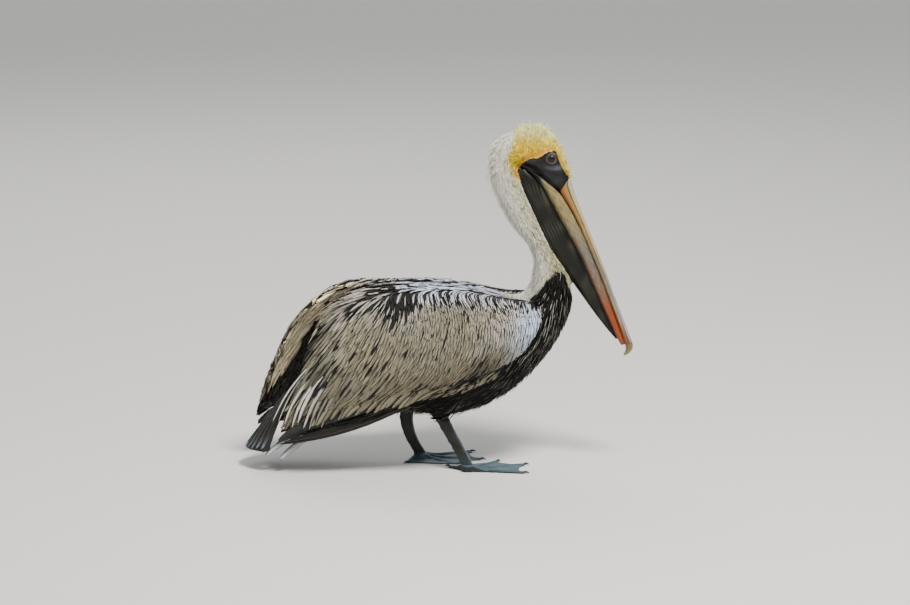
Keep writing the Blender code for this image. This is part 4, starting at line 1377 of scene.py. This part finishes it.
def make_primaries(side, number):
    """Black blades stacked along the folded tip of the wing, two of them with a thin pale shaft line."""
    out = OUT[side]
    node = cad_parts[f"wing_{side}_primaries"]
    node.data.materials[0] = MATERIALS["under"]
    coat = Coat(node.data)
    random = np.random.default_rng(540 + number)
    low, high = (np.array(c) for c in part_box(node.name))
    count = 8
    order = np.linspace(0, 1, count)
    span, rise = high[0] - low[0], high[2] - low[2]
    tips_x = low[0] + span * (0.004 + 0.34 * order**1.2)
    tips = np.column_stack([tips_x, low[2] + rise * (0.02 + 0.36 * order)])
    roots_x = high[0] - span * (0.02 + 0.10 * order)
    roots = np.column_stack([roots_x, high[2] - rise * (0.20 - 0.10 * order)])
    shares = long_shares(13)
    spine, ups = lay_on_side(coat, out, drawn_paths(roots, tips, 0.045, shares))
    half = np.full(count, 0.0048)
    lift = 0.0004 + 0.0004 * order[:, None]
    dark = vary(np.tile(QUILL_BLACK, (count, 1)), random, 0.12)
    tint = graded(dark, dark * 1.15, shares)
    piece = vanes(f"primaries_{side}", spine, ups, half, outline(shares, 0.7, 6.0), lift, tint, NO_RIM,
                  MATERIALS["black"], **BLADE_SECTION)
    drawn = [1, 5]
    thin = np.full(len(drawn), 0.0004)
    pale = np.tile(SHAFT_PALE, (len(drawn), 1))
    shaft = vanes(f"primary_shafts_{side}", spine[drawn], ups[drawn], thin, 1 - 0.6 * shares,
                  lift[drawn] + 0.0007, graded(pale, pale, shares), NO_RIM, MATERIALS["black"],
                  camber=0.3, ridge=0.8)


def make_tail():
    """Two fans of long tail feathers, over and under the tail's solid."""
    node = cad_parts["tail"]
    node.data.materials[0] = MATERIALS["under"]
    coat = Coat(node.data)
    low, high = (np.array(c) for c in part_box("tail"))
    root, tip = np.array((high[0], 0.0, high[2])), np.array((low[0], 0.0, low[2]))
    ahead = unit(tip - root)
    back = np.array((ahead[2], 0.0, -ahead[0]))
    reach, wide = float(np.linalg.norm(tip - root)), float(high[1])
    count = 11
    shares = long_shares(14)
    for number, (name, facing) in enumerate((("upper", 1.0), ("under", -1.0))):
        random = np.random.default_rng(560 + number)
        across = np.linspace(-1, 1, count)[np.argsort(-np.abs(np.linspace(-1, 1, count)), kind="stable")]
        end = 0.99 - 0.17 * across**2 + random.normal(0, 0.006, count)
        along = 0.03 + (end - 0.03)[:, None] * shares[None]
        spread = (0.30 + 0.70 * along**0.8) * (wide - 0.0060)
        flat = root + along[..., None] * ahead * reach
        flat[..., 1] = across[:, None] * spread
        places, normals, hit = cast(coat, (flat + back * facing * 0.08).reshape(-1, 3), -back * facing)
        hit = hit.reshape(count, -1)
        depth = ((places - flat.reshape(-1, 3)) @ back).reshape(count, -1)
        ups = held(normals.reshape(count, -1, 3), hit)
        ups[:, 0] = ups[:, 1]
        spine = flat + held(depth, hit)[..., None] * back
        lift = 0.0003 + 0.0009 * (1 - np.abs(across))[:, None]
        grey = vary(np.tile(TAIL_DARK, (count, 1)), random, 0.45)
        ends = mix(TAIL_TIP, TAIL_TIP_OUTER, np.abs(across) ** 2)
        tint = graded(grey, vary(ends, random, 0.10), shares, 14.0)
        piece = vanes(f"rectrices_{name}", spine, ups, np.full(count, 0.0075), outline(shares, 0.6, 5.0),
                      lift, tint, 0.70, MATERIALS["silver"], unwrapped(spine[:, 3], 2), **BLADE_SECTION)


def make_spread_rectrices():
    """Two pale tail feathers that splay out on the right, below the folded wing."""
    tips = np.column_stack(at(np.array((0.054, 0.093)), np.array((0.047, 0.041))))
    roots = np.column_stack(at(np.array((0.158, 0.190)), np.array((0.124, 0.118))))
    shares = long_shares(12)
    paths = drawn_paths(roots, tips, -0.03, shares)
    y = -0.034 - 0.016 * shares[None] - np.array((0.0, 0.006))[:, None]
    spine = np.stack([paths[..., 0], y, paths[..., 1]], axis=-1)
    ups = np.broadcast_to(unit(np.array((0.0, -1.0, 0.45))), spine.shape)
    grey = np.tile(SPLAYED_ROOT, (2, 1))
    tint = graded(grey, np.tile(SPLAYED_TIP, (2, 1)), shares, 0.8)
    piece = vanes("rectrices_spread", spine, ups, np.array((0.0052, 0.0056)), outline(shares, 0.6, 7.0),
                  np.zeros((2, 1)), tint, 0.85, MATERIALS["silver"], unwrapped(spine[:, 0], around=0.5),
                  camber=0.2, ridge=0.12)


# ---------------------------------------------------------------- breast, belly and thighs


# Where the breast has pale streaks: place in shares of the bird's box, and how many.
PALE_STREAKS = [(0.775, 0.47, 1.0), (0.800, 0.43, 1.0), (0.770, 0.39, 0.9), (0.745, 0.35, 0.6),
                (0.700, 0.30, 0.35), (0.800, 0.50, 0.6), (0.825, 0.47, 0.5), (0.56, 0.245, 0.12)]


def make_breast(coat):
    """Narrow dark feathers of breast, belly and thighs, ragged underneath."""
    nodes = ["trunk", "thigh_right", "thigh_left", "neck_lower"]

    def wanted(points, _):
        low = points[:, 2] < at(0, 0.60)[1]
        return low & (black_depth(points) > -0.002)

    points, normals = coat.roots(nodes, wanted, SPACING["breast"], 300)
    random = np.random.default_rng(301)
    count = len(points)
    share_x = shares_of(points)[0]
    length = (0.024 + 0.010 * random.random(count)) * (0.75 + 0.25 * fade(share_x, 0.7, 0.84))
    half = 0.0023 * random.uniform(0.8, 1.2, count)
    shares = np.array([0.0, 0.28, 0.60, 0.86, 1.0])
    spine, ups = march(coat, points, normals, flow_from(BREAST_LIE), length, shares)
    under = ease(-normals[:, 2], 0.35, 0.9)
    lift = (0.0006 + 0.0042 * shares**0.9)[None] * random.uniform(0.8, 1.2, (count, 1))
    lift = lift + 0.007 * (under * random.random(count) ** 3)[:, None] * (shares**2)[None]
    flank = 0.0
    for spot_x, spot_z, strength in PALE_STREAKS:
        flank = np.maximum(flank, strength * blot(points, spot_x, spot_z, 0.020, 0.028))
    pale = (random.random(count) < 0.70 * flank + 0.015 * (share_x > 0.62)) * random.uniform(0.4, 1.0, count)
    base = mix(BREAST_BLACK, BREAST_PALE, pale)
    tips = mix(base, BELLY_TIP, 0.4 * under * (random.random(count) < 0.2))
    start = np.where(pale > 0, random.uniform(0.12, 0.26, count), 1.3)
    tint = graded(vary(base, random, 0.2), tips, shares, 2.0)
    piece = vanes("plumes_breast", spine, ups, half, outline(shares, 0.25, 2.2), lift, tint, start,
                  MATERIALS["black"])


def make_back(coat):
    """Feathers between the wings, on the rump and round the tail's root."""
    def wanted(points, normals):
        share_x, share_z = shares_of(points)
        return (normals[:, 2] > 0.05) & (share_x < 0.67) & ((share_z > 0.34) | (share_x < 0.28))

    points, normals = coat.roots(["trunk"], wanted, SPACING["back"], 320)
    random = np.random.default_rng(321)
    count = len(points)
    length = random.uniform(0.026, 0.036, count) * (0.5 + 0.5 * ease(shares_of(points)[0], 0.14, 0.24))
    half = random.uniform(0.0032, 0.0042, count)
    shares = np.array([0.0, 0.22, 0.48, 0.74, 0.92, 1.0])
    spine, ups = march(coat, points, normals, flow_from(BACK_LIE), length, shares)
    rump = fade(shares_of(points)[0], 0.17, 0.27)
    lift = (0.0008 + 0.0042 * shares)[None] * random.uniform(0.8, 1.2, (count, 1))
    lift = lift * (1 - 0.65 * rump)[:, None]
    # The back takes half the bluish silver of the wing's top edge, with its painted sky sheen.
    base = vary(mix(SILVER, SILVER_COOL_SKY_SHEEN, np.full(count, 0.5)), random, 0.15)
    base = mix(base, RUMP_BROWN, 0.9 * rump)
    start = random.uniform(0.5, 0.75, count)
    # Darker towards the roots: painted shade where the feathers overlap.
    tint = graded(base * 0.6, base, shares, 0.5)
    piece = vanes("plumes_back", spine, ups, half, outline(shares, 0.5, 3.0), lift, tint, start,
                  MATERIALS["silver"])


# ---------------------------------------------------------------- neck and crown


def make_neck(coat):
    """Short velvet tufts, standing out a little down the back of the neck."""
    def wanted(points, _):
        ragged = wobble(points, 0.0015, 3.0) * 0.0012
        behind = (shares_of(points)[0] > 0.665) | (points[:, 2] > at(0, 0.60)[1])
        beside_bill = (points[:, 0] > EYES["right"][0] - 0.030) & (points[:, 2] > EYES["right"][2] - 0.060)
        face = in_face(points, 0.001) & (is_node(owner_of(points), "head") | beside_bill)
        return (black_depth(points) < ragged) & ~face & behind

    points, normals = coat.roots(["trunk", "neck_lower", "neck_upper", "head"], wanted, SPACING["neck"], 340)
    random = np.random.default_rng(341)
    keep = crown_depth(points) < random.normal(0, 0.0012, len(points))
    points, normals = points[keep], normals[keep]
    count = len(points)
    behind = ease(-normals[:, 0], 0.35, 0.95)
    nape = behind * ease(shares_of(points)[1], 0.74, 0.86)
    tall = (random.random(count) < 0.45) * nape * (wobble(points, 0.0024, 8.0) > 0.20)
    length = random.uniform(0.0065, 0.0100, count) + 0.002 * behind + 0.003 * tall
    rise = 0.0020 + 0.0014 * behind + 0.0036 * behind * random.random(count)
    rise = rise + 0.0090 * tall * random.random(count) ** 0.7
    half = random.uniform(0.00040, 0.00062, count) * (1 + 0.35 * tall)
    shares = np.array([0.0, 0.35, 0.72, 1.0])
    flow = flow_from(NECK_LIE)
    tips = march(coat, points, normals, flow, length, shares)[0][:, -1]
    length = np.where(is_node(owner_of(tips), "pouch"), 0.4 * length, length)
    spine, ups = march(coat, points, normals, flow, length, shares)
    lift = 0.0004 + rise[:, None] * (shares**1.2)[None]
    low = fade(points[:, 2], *(at(0, s)[1] for s in (0.60, 0.84)))
    beside_pouch = ease(normals[:, 0], -0.35, 0.35)
    clumped = wobble(points, 0.0007, 11.0) > 0.25
    speck = random.random(count) < 0.04 + 0.08 * low + 0.90 * clumped * beside_pouch * (0.35 + 0.65 * low)
    front = ease(normals[:, 0], 0.35, 0.90)
    base = mix(WHITE, CREAM, np.clip(0.6 * front + 0.20 * beside_pouch, 0, 1))
    base = mix(base, THROAT_GREEN, 0.7 * low * ease(points[:, 0], *(at(s, 0)[0] for s in (0.755, 0.800))))
    near_crown = ease(crown_depth(points), -0.010, 0.0)
    base = mix(base, STRAW_WHITE, 0.8 * near_crown * random.random(count))
    base = vary(base, random, 0.20) * (0.97 + 0.16 * wobble(points, 0.0024, 5.0))[:, None]
    base = mix(np.minimum(base, 1.0), SPECK, speck * random.uniform(0.5, 1.0, count))
    # Darker towards the roots: painted shade where the tufts overlap.
    tint = graded(base * 0.70, base, shares, 0.6)
    piece = vanes("tufts_neck", spine, ups, half, outline(shares, 0.6, 1.8), lift, tint, TUFT_START,
                  MATERIALS["tufts"], unwrapped(points, 2), **TUFT_SECTION)


# The rear edge of the yellow on the head in the side view, from the gape up, as shares of the box.
CROWN_REAR = [(0.712, 0.828), (0.6934, 0.851), (0.683, 0.875), (0.6754, 0.897), (0.678, 0.918),
              (0.6934, 0.950), (0.6985, 0.976), (0.702, 1.010)]


def crown_depth(points):
    """How far forward of the rear edge of the yellow part of the head each point lies."""
    places = np.array([at(*spot) for spot in CROWN_REAR])
    rear = np.interp(points[:, 2], places[:, 1], places[:, 0]) + 0.0016 * wobble(points, 0.0022, 1.0)
    return np.where(points[:, 2] > places[0, 1], points[:, 0] - rear, -0.05)


def in_crown(points):
    """Whether a point lies in the yellow part of the head."""
    return crown_depth(points) > 0


def make_crown(coat):
    """Yellow tufts: short and flat beside the face, spiky on top, with pale tips that are partly a painted
    highlight.
    """
    def wanted(points, _):
        return (crown_depth(points) > -0.003) & ~in_face(points, 0.0004)

    points, normals = coat.roots(["head"], wanted, SPACING["crown"], 360)
    random = np.random.default_rng(361)
    inside = crown_depth(points)
    keep = inside > random.normal(0, 0.0012, len(points))
    points, normals, inside = points[keep], normals[keep], inside[keep]
    count = len(points)
    eye = EYES["right"]
    high = ease(points[:, 2], eye[2] + 0.008, eye[2] + 0.040)
    fore = ease(normals[:, 0], 0.4, 0.9)
    stand = np.maximum(high * ease(normals[:, 2], 0.0, 0.7), 0.7 * fore)
    stand = stand * (0.35 + 0.65 * ease(inside, 0.0, 0.010))
    tall = (random.random(count) < 0.42) & (wobble(points, 0.0026, 4.0) > 0.30)
    length = 0.0054 + 0.0022 * stand * random.uniform(0.3, 1.7, count) + 0.0066 * tall * stand
    lean = np.radians(14 + 36 * stand * random.uniform(0.5, 1.3, count) + 22 * tall * stand)
    half = random.uniform(0.00034, 0.00055, count) * (1 + 0.25 * tall)
    shares = np.array([0.0, 0.30, 0.65, 1.0])
    spine, ups = march(coat, points, normals, flow_from(HEAD_LIE), length * np.cos(lean), shares)
    lift = 0.0003 + (length * np.sin(lean))[:, None] * (shares**0.9)[None]
    behind_eye = fade(points[:, 0], eye[0] - 0.002, eye[0] + 0.010)
    near_face = fade(face_height(points), 0.002, 0.011) * (0.25 + 0.75 * behind_eye)
    # Paler yellow towards the top and front: partly the crown's own colour, partly painted light.
    bright = mix(YELLOW, YELLOW_PALE, np.maximum(high, 0.5 * fore) * random.random(count))
    base = vary(mix(bright, GOLD, np.clip(0.9 * near_face + 0.15 * random.random(count), 0, 1)), random, 0.26)
    base = base * (0.86 + 0.30 * wobble(points, 0.0022, 9.0))[:, None]
    # Standing tufts whiten at their tips: partly pale tips, partly a painted highlight on the top of the
    # head.
    whitened = np.clip(0.03 + 1.15 * stand * (1 - 0.55 * fore), 0, 1) * random.uniform(0.60, 1.0, count)
    tips = mix(base, TIP_PALE_AND_HIGHLIGHT, whitened)
    # Darker towards the roots: painted shade where the tufts overlap.
    tint = graded(base * 0.66, tips, shares, 0.5)
    piece = vanes("tufts_crown", spine, ups, half, outline(shares, 0.6, 1.6), lift, tint, TUFT_START,
                  MATERIALS["crown"], unwrapped(points, 2), **TUFT_SECTION)


# ---------------------------------------------------------------- bill, eyes and claws

BILL_TOP = np.array((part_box("bill_upper")[0].x, 0.0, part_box("bill_upper")[1].z))
BILL_TIP = np.array((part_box("bill_nail")[1].x, 0.0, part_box("bill_nail")[0].z))
BILL_FORWARD = unit(BILL_TIP - BILL_TOP)
BILL_THROAT = np.array((BILL_FORWARD[2], 0.0, -BILL_FORWARD[0]))
BILL_LENGTH = float(np.linalg.norm(BILL_TIP - BILL_TOP))


def bill_places(points):
    """Share of the bill's length, distance from the culmen's line towards the throat, and y."""
    off = points - BILL_TOP
    return off @ BILL_FORWARD / BILL_LENGTH, off @ BILL_THROAT, points[:, 1]


def ramp(share, stops):
    """A colour at each share, from stops of (share, colour)."""
    places = [stop[0] for stop in stops]
    return np.column_stack([np.interp(share, places, [stop[1][k] for stop in stops]) for k in range(3)])


def horn_piece(node, voxel, rounds, colour_at, shape_at, material):
    """A fine copy of a bill or claw solid, shaped and coloured in the bill's own plane."""
    mesh = remeshed([node], 0.0001, voxel, rounds)
    points, normals = points_of(mesh), points_of(mesh, "normal")
    if shape_at:
        points = points + normals * shape_at(points, normals)[:, None]
        move_points(mesh, points)
    mesh.materials.clear()
    mesh.materials.append(material)
    mesh.shade_smooth()
    share, depth, y = bill_places(points)
    polish = ease(share, 0.0, 0.05)
    set_colour(mesh, "tint", np.column_stack([colour_at(points, normals), polish]))
    corners = np.empty(len(mesh.loops), np.int32)
    mesh.loops.foreach_get("vertex_index", corners)
    set_uv(mesh, "Grain", corners, np.column_stack([share * 4.0, (depth + 0.7 * y) * 160.0]))
    made = linked("fine_" + node, mesh)
    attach(made, "root")
    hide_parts(node)


CULMEN_CREAM = paint(176, 158, 116)
CULMEN_GREY = paint(136, 128, 116)
SALMON = paint(160, 88, 38)
STRAW = paint(160, 122, 58)
BILL_GREY = paint(118, 102, 80)
RED_ORANGE = paint(126, 52, 6)
RED_BROWN = paint(122, 78, 52)
RAMUS_STRAW = paint(142, 124, 66)
NAIL_GREEN = paint(108, 98, 56)
BILL_FLUSH = paint(168, 150, 138)
CULMEN_BASE = paint(150, 164, 168)
CULMEN_PINK = paint(160, 146, 142)
HORN_STAIN = paint(96, 84, 60)
BILL_GROOVE_SHADE = paint(58, 52, 36)
RAMUS_BASE = paint(96, 104, 102)
RAMUS_OLIVE = paint(124, 114, 82)
RAMUS_GREY = paint(98, 94, 86)
RAMUS_RUST = paint(108, 80, 60)
RAMUS_SLATE = paint(66, 74, 72)
RAMUS_FLECK = paint(160, 146, 104)
NAIL_TIP = paint(140, 132, 92)
CLAW_GREY = paint(52, 52, 54)


def bill_line(node):
    """Nearest and farthest distance from the culmen's line, along the shares of a bill solid."""
    share, depth, _ = bill_places(along_edges(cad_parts[node].data, 24))
    steps = np.linspace(share.min(), share.max(), 30)
    window = 0.6 * (steps[1] - steps[0])
    near = np.array([depth[np.abs(share - step) < window].min() for step in steps])
    far = np.array([depth[np.abs(share - step) < window].max() for step in steps])
    return steps, near, far


def across_bill(points, line):
    """0 at the culmen's edge of a bill solid and 1 at its far edge, and the share of its length."""
    share, depth, _ = bill_places(points)
    near, far = np.interp(share, line[0], line[1]), np.interp(share, line[0], line[2])
    return (depth - near) / np.maximum(far - near, 1e-4), share


UPPER_LINE, LOWER_LINE = bill_line("bill_upper"), bill_line("bill_lower")
CULMEN_EDGE = 0.36  # share of the upper bill's depth where the groove beside the culmen runs


def mottle(points, scale, seed):
    """Blotches drawn out along the bill, from 0 to 1."""
    share, depth, y = bill_places(points)
    flat = np.column_stack([share * BILL_LENGTH * 0.35, depth, y])
    return patches(flat, scale, seed)


def upper_bill_colour(points, _):
    """Pale culmen, mottled grey and straw sides, reddish towards the tip and slate at the base."""
    across, share = across_bill(points, UPPER_LINE)
    lower = ramp(share, [(0.02, SALMON), (0.13, SALMON), (0.26, STRAW), (0.45, BILL_GREY), (0.70, BILL_GREY),
                         (0.80, RED_ORANGE), (1.0, RED_ORANGE)])
    middle = ramp(share, [(0.02, STRAW), (0.30, STRAW), (0.50, BILL_GREY), (0.78, BILL_FLUSH),
                          (0.90, RED_ORANGE), (1.0, RED_ORANGE)])
    culmen = ramp(share, [(0.0, CULMEN_BASE), (0.10, CULMEN_CREAM), (0.35, CULMEN_CREAM), (0.60, CULMEN_GREY),
                          (0.88, CULMEN_PINK), (1.0, RED_ORANGE)])
    sides = mix(middle, lower, ease(across, 0.55, 0.72))
    sides = mix(sides, HORN_STAIN, 0.75 * mottle(points, 0.0009, 2.0) ** 2)
    colours = mix(sides, culmen, fade(across, CULMEN_EDGE - 0.03, CULMEN_EDGE + 0.03))
    # Painted shade in the groove beside the culmen.
    colours = mix(colours, BILL_GROOVE_SHADE, 0.9 * groove_at(points))
    base = 0.003 + 0.016 * ease(across, 0.25, 0.45) + 0.030 * ease(across, 0.80, 0.97)
    return mix(colours, SLATE, fade(share, base, base + 0.008))


def groove_at(points):
    """1 in the long groove on each side of the culmen."""
    across, share = across_bill(points, UPPER_LINE)
    near = fade(np.abs(across - CULMEN_EDGE), 0.03, 0.09)
    return near * fade(share, 0.92, 0.97) * ease(share, 0.0, 0.02)


def upper_bill_shape(points, normals):
    """The groove beside the culmen, a fainter one along the mouth, and a lip that meets the lower bill."""
    across, share = across_bill(points, UPPER_LINE)
    rim = 0.35 * fade(np.abs(across - 0.82), 0.02, 0.06) * ease(share, 0.05, 0.12)
    lip = 0.0005 * ease(normals @ BILL_THROAT, 0.3, 0.8)
    return lip - 0.0010 * groove_at(points) - 0.0009 * rim


def lower_bill_colour(points, _):
    """Straw at the base, then grey mottling, a rusty band and a red-orange tip."""
    across, share = across_bill(points, LOWER_LINE)
    sides = ramp(share, [(-0.03, RAMUS_BASE), (0.01, RAMUS_STRAW), (0.18, RAMUS_STRAW), (0.30, RAMUS_OLIVE),
                         (0.42, RAMUS_GREY), (0.58, RAMUS_RUST), (0.72, RED_ORANGE), (1.0, RED_ORANGE)])
    rear = fade(share, 0.55, 0.75)
    blotch = mottle(points, 0.0009, 5.0)
    sides = mix(sides, RAMUS_SLATE, 0.9 * blotch**1.5 * rear)
    sides = mix(sides, RAMUS_FLECK, 0.5 * mottle(points, 0.0008, 9.0) ** 3 * rear)
    rusty = ease(across, 0.30, 0.8) * ease(share, 0.22, 0.36) * fade(share, 0.70, 0.78)
    sides = mix(sides, RED_BROWN, 0.9 * rusty * mottle(points, 0.0011, 8.0))
    start = -0.060 + 0.03 * across
    sides = mix(sides, SLATE, fade(share, start, start + 0.035))
    return mix(sides, SLATE, 0.85 * ease(across, 0.96, 1.0))


def lower_bill_shape(points, normals):
    """The rear end sinks under the skin of the gape, and the edge along the mouth rises to the upper bill."""
    share = bill_places(points)[0]
    lip = ease(-(normals @ BILL_THROAT), 0.3, 0.8) * ease(share, 0.0, 0.06) * fade(share, 0.90, 0.96)
    return 0.0013 * lip - 0.0034 * fade(share, -0.13, -0.07)


def nail_colour(points, _):
    """The hook of the bill: red-orange at its root, greenish horn at its tip."""
    share = bill_places(points)[0]
    return ramp(share, [(0.90, RED_ORANGE), (0.95, NAIL_GREEN), (1.0, NAIL_TIP)])


def claw_colour(points, _):
    """One dark grey."""
    return np.tile(CLAW_GREY, (len(points), 1))


def make_bill():
    """Both jaws and the hook."""
    horn = horn_material("bill_horn", 0.28, 3.0)
    horn_piece("bill_upper", 0.0008, 4, upper_bill_colour, upper_bill_shape, horn)
    horn_piece("bill_lower", 0.0008, 4, lower_bill_colour, lower_bill_shape, horn)
    horn_piece("bill_nail", 0.0006, 4, nail_colour, None, horn_material("bill_nail", 0.2, 2.0))


def make_claws():
    """All the claws, made from their solids."""
    horn = horn_material("claw_horn", 0.3, 2.0)
    for name in NODE_NAMES:
        if name.startswith("claw_"):
            horn_piece(name, 0.0004, 3, claw_colour, None, horn)


# Colours of an eye by the angle off its gaze, in degrees: black pupil, brown iris and dark rim.
PUPIL = paint(8, 8, 9)
IRIS = [(0, PUPIL), (19, PUPIL), (24, paint(40, 25, 16)), (38, paint(40, 26, 18)), (43, paint(12, 10, 9)),
        (60, paint(24, 20, 18))]


def make_eyes():
    """Eyeballs with a dark pupil and a brown iris."""
    skin = eye_material()
    for side in SIDES:
        shape = bmesh.new()
        bmesh.ops.create_uvsphere(shape, u_segments=64, v_segments=48, radius=EYE_RADIUS)
        mesh = mesh_from(shape, f"eyeball_{side}")
        points = points_of(mesh)
        gaze = unit(np.array((0.12, OUT[side], 0.02)))
        reach = np.degrees(np.arccos(np.clip(unit(points) @ gaze, -1, 1)))
        colours = ramp(reach, IRIS)
        set_colour(mesh, "tint", np.column_stack([colours, np.ones(len(points))]))
        mesh.materials.append(skin)
        mesh.shade_smooth()
        mesh.transform(Matrix.Translation(EYES[side].tolist()))
        made = linked(f"eyeball_{side}", mesh)
        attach(made, "root")
        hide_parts(f"eye_{side}")


# ---------------------------------------------------------------- stage

CAMERA_AIM = np.array((0.02705, 0.0, 0.2758))
CAMERA_ELEVATION = 12.0
CAMERA_DISTANCE = 6.5
CAMERA_WIDTH = 1.5015  # width of the view at the bird
SENSOR = 36.0  # width of the camera's sensor, in mm

FLOOR_REACH = 60.0  # half the floor's width
WHITE_LIGHT = (1.0, 1.0, 1.0)
WARM_LIGHT = (1.0, 0.97, 0.92)
SKY_LIGHT = (0.88, 0.94, 1.0, 1.0)
SKY_STRENGTH = 0.42
LIGHTS = [  # name, place, width, power, colour and how far back it aims
    ("key", (0.9, -1.5, 3.0), 0.9, 190.0, WARM_LIGHT, 0.0),
    ("fill", (-2.6, -2.6, 1.4), 2.6, 14.0, WHITE_LIGHT, 0.0),
    ("rim", (-0.6, 2.6, 2.6), 2.4, 45.0, WHITE_LIGHT, 0.0),
    ("backdrop", (0.0, 9.0, 6.0), 9.0, 170.0, WHITE_LIGHT, 8.0),
]


def make_floor():
    """A level floor, wide enough to fill the view."""
    corners = np.array([(-1, -1, 0), (1, -1, 0), (1, 1, 0), (-1, 1, 0)]) * FLOOR_REACH
    floor, _ = new_piece("floor", corners, np.array([(0, 1, 2, 3)]), np.empty((0, 3), int), floor_material())


def make_camera():
    """From the bird's right side, looking a little down on it."""
    camera = bpy.data.cameras.new("camera")
    camera.sensor_width = SENSOR
    camera.lens = SENSOR * CAMERA_DISTANCE / CAMERA_WIDTH
    eye = linked("camera", camera)
    rise = math.radians(CAMERA_ELEVATION)
    back, up = CAMERA_DISTANCE * math.cos(rise), CAMERA_DISTANCE * math.sin(rise)
    eye.location = (CAMERA_AIM[0], -back, CAMERA_AIM[2] + up)
    eye.rotation_euler = (math.pi / 2 - rise, 0.0, 0.0)
    bpy.context.scene.camera = eye


def make_lights():
    """A warm key light, soft fill and rim lights, one for the backdrop and a dim even sky."""
    for name, place, width, power, colour, far in LIGHTS:
        light = bpy.data.lights.new(name, "AREA")
        light.size = width
        light.energy = power
        light.color = colour
        lamp = linked(name, light)
        lamp.location = place
        aim = Vector((0.0, far, 0.25)) - Vector(place)
        lamp.rotation_euler = aim.to_track_quat("-Z", "Y").to_euler()
    world = bpy.data.worlds.new("world")
    world.use_nodes = True
    sky = world.node_tree.nodes["Background"]
    sky.inputs["Color"].default_value = SKY_LIGHT
    sky.inputs["Strength"].default_value = SKY_STRENGTH
    bpy.context.scene.world = world


# ---------------------------------------------------------------- all together

SILVER_RIM = paint(24, 21, 19)
BLACK_RIM = paint(18, 16, 14)
UNDER_BROWN = paint(28, 26, 24)
MATERIALS = {
    "silver": feather_material("silver_plumage", SILVER_RIM, 0.55, 0.06),
    "black": feather_material("black_plumage", BLACK_RIM, 0.55, 0.0),
    "under": plain_material("under_plumage", UNDER_BROWN, 0.6),
    "tufts": tuft_material("tufts", 0.7, 0.25),
    "crown": tuft_material("crown", 0.7, 0.08),
}


def main():
    """Skin first, then the plumage over it, the hard parts and the stage."""
    skin = make_skin()
    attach(skin, "root")
    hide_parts(*BODY_NODES, *LEG_NODES)
    coat = Coat(skin.data)
    for number, side in enumerate(SIDES):
        make_wing(coat, side, number)
        make_greater_coverts(coat, side, number)
        make_tertials(coat, side, number)
        make_primaries(side, number)
    make_tail()
    make_spread_rectrices()
    make_breast(coat)
    make_back(coat)
    make_neck(coat)
    make_crown(coat)
    make_bill()
    make_claws()
    make_eyes()
    make_floor()
    make_camera()
    make_lights()


main()
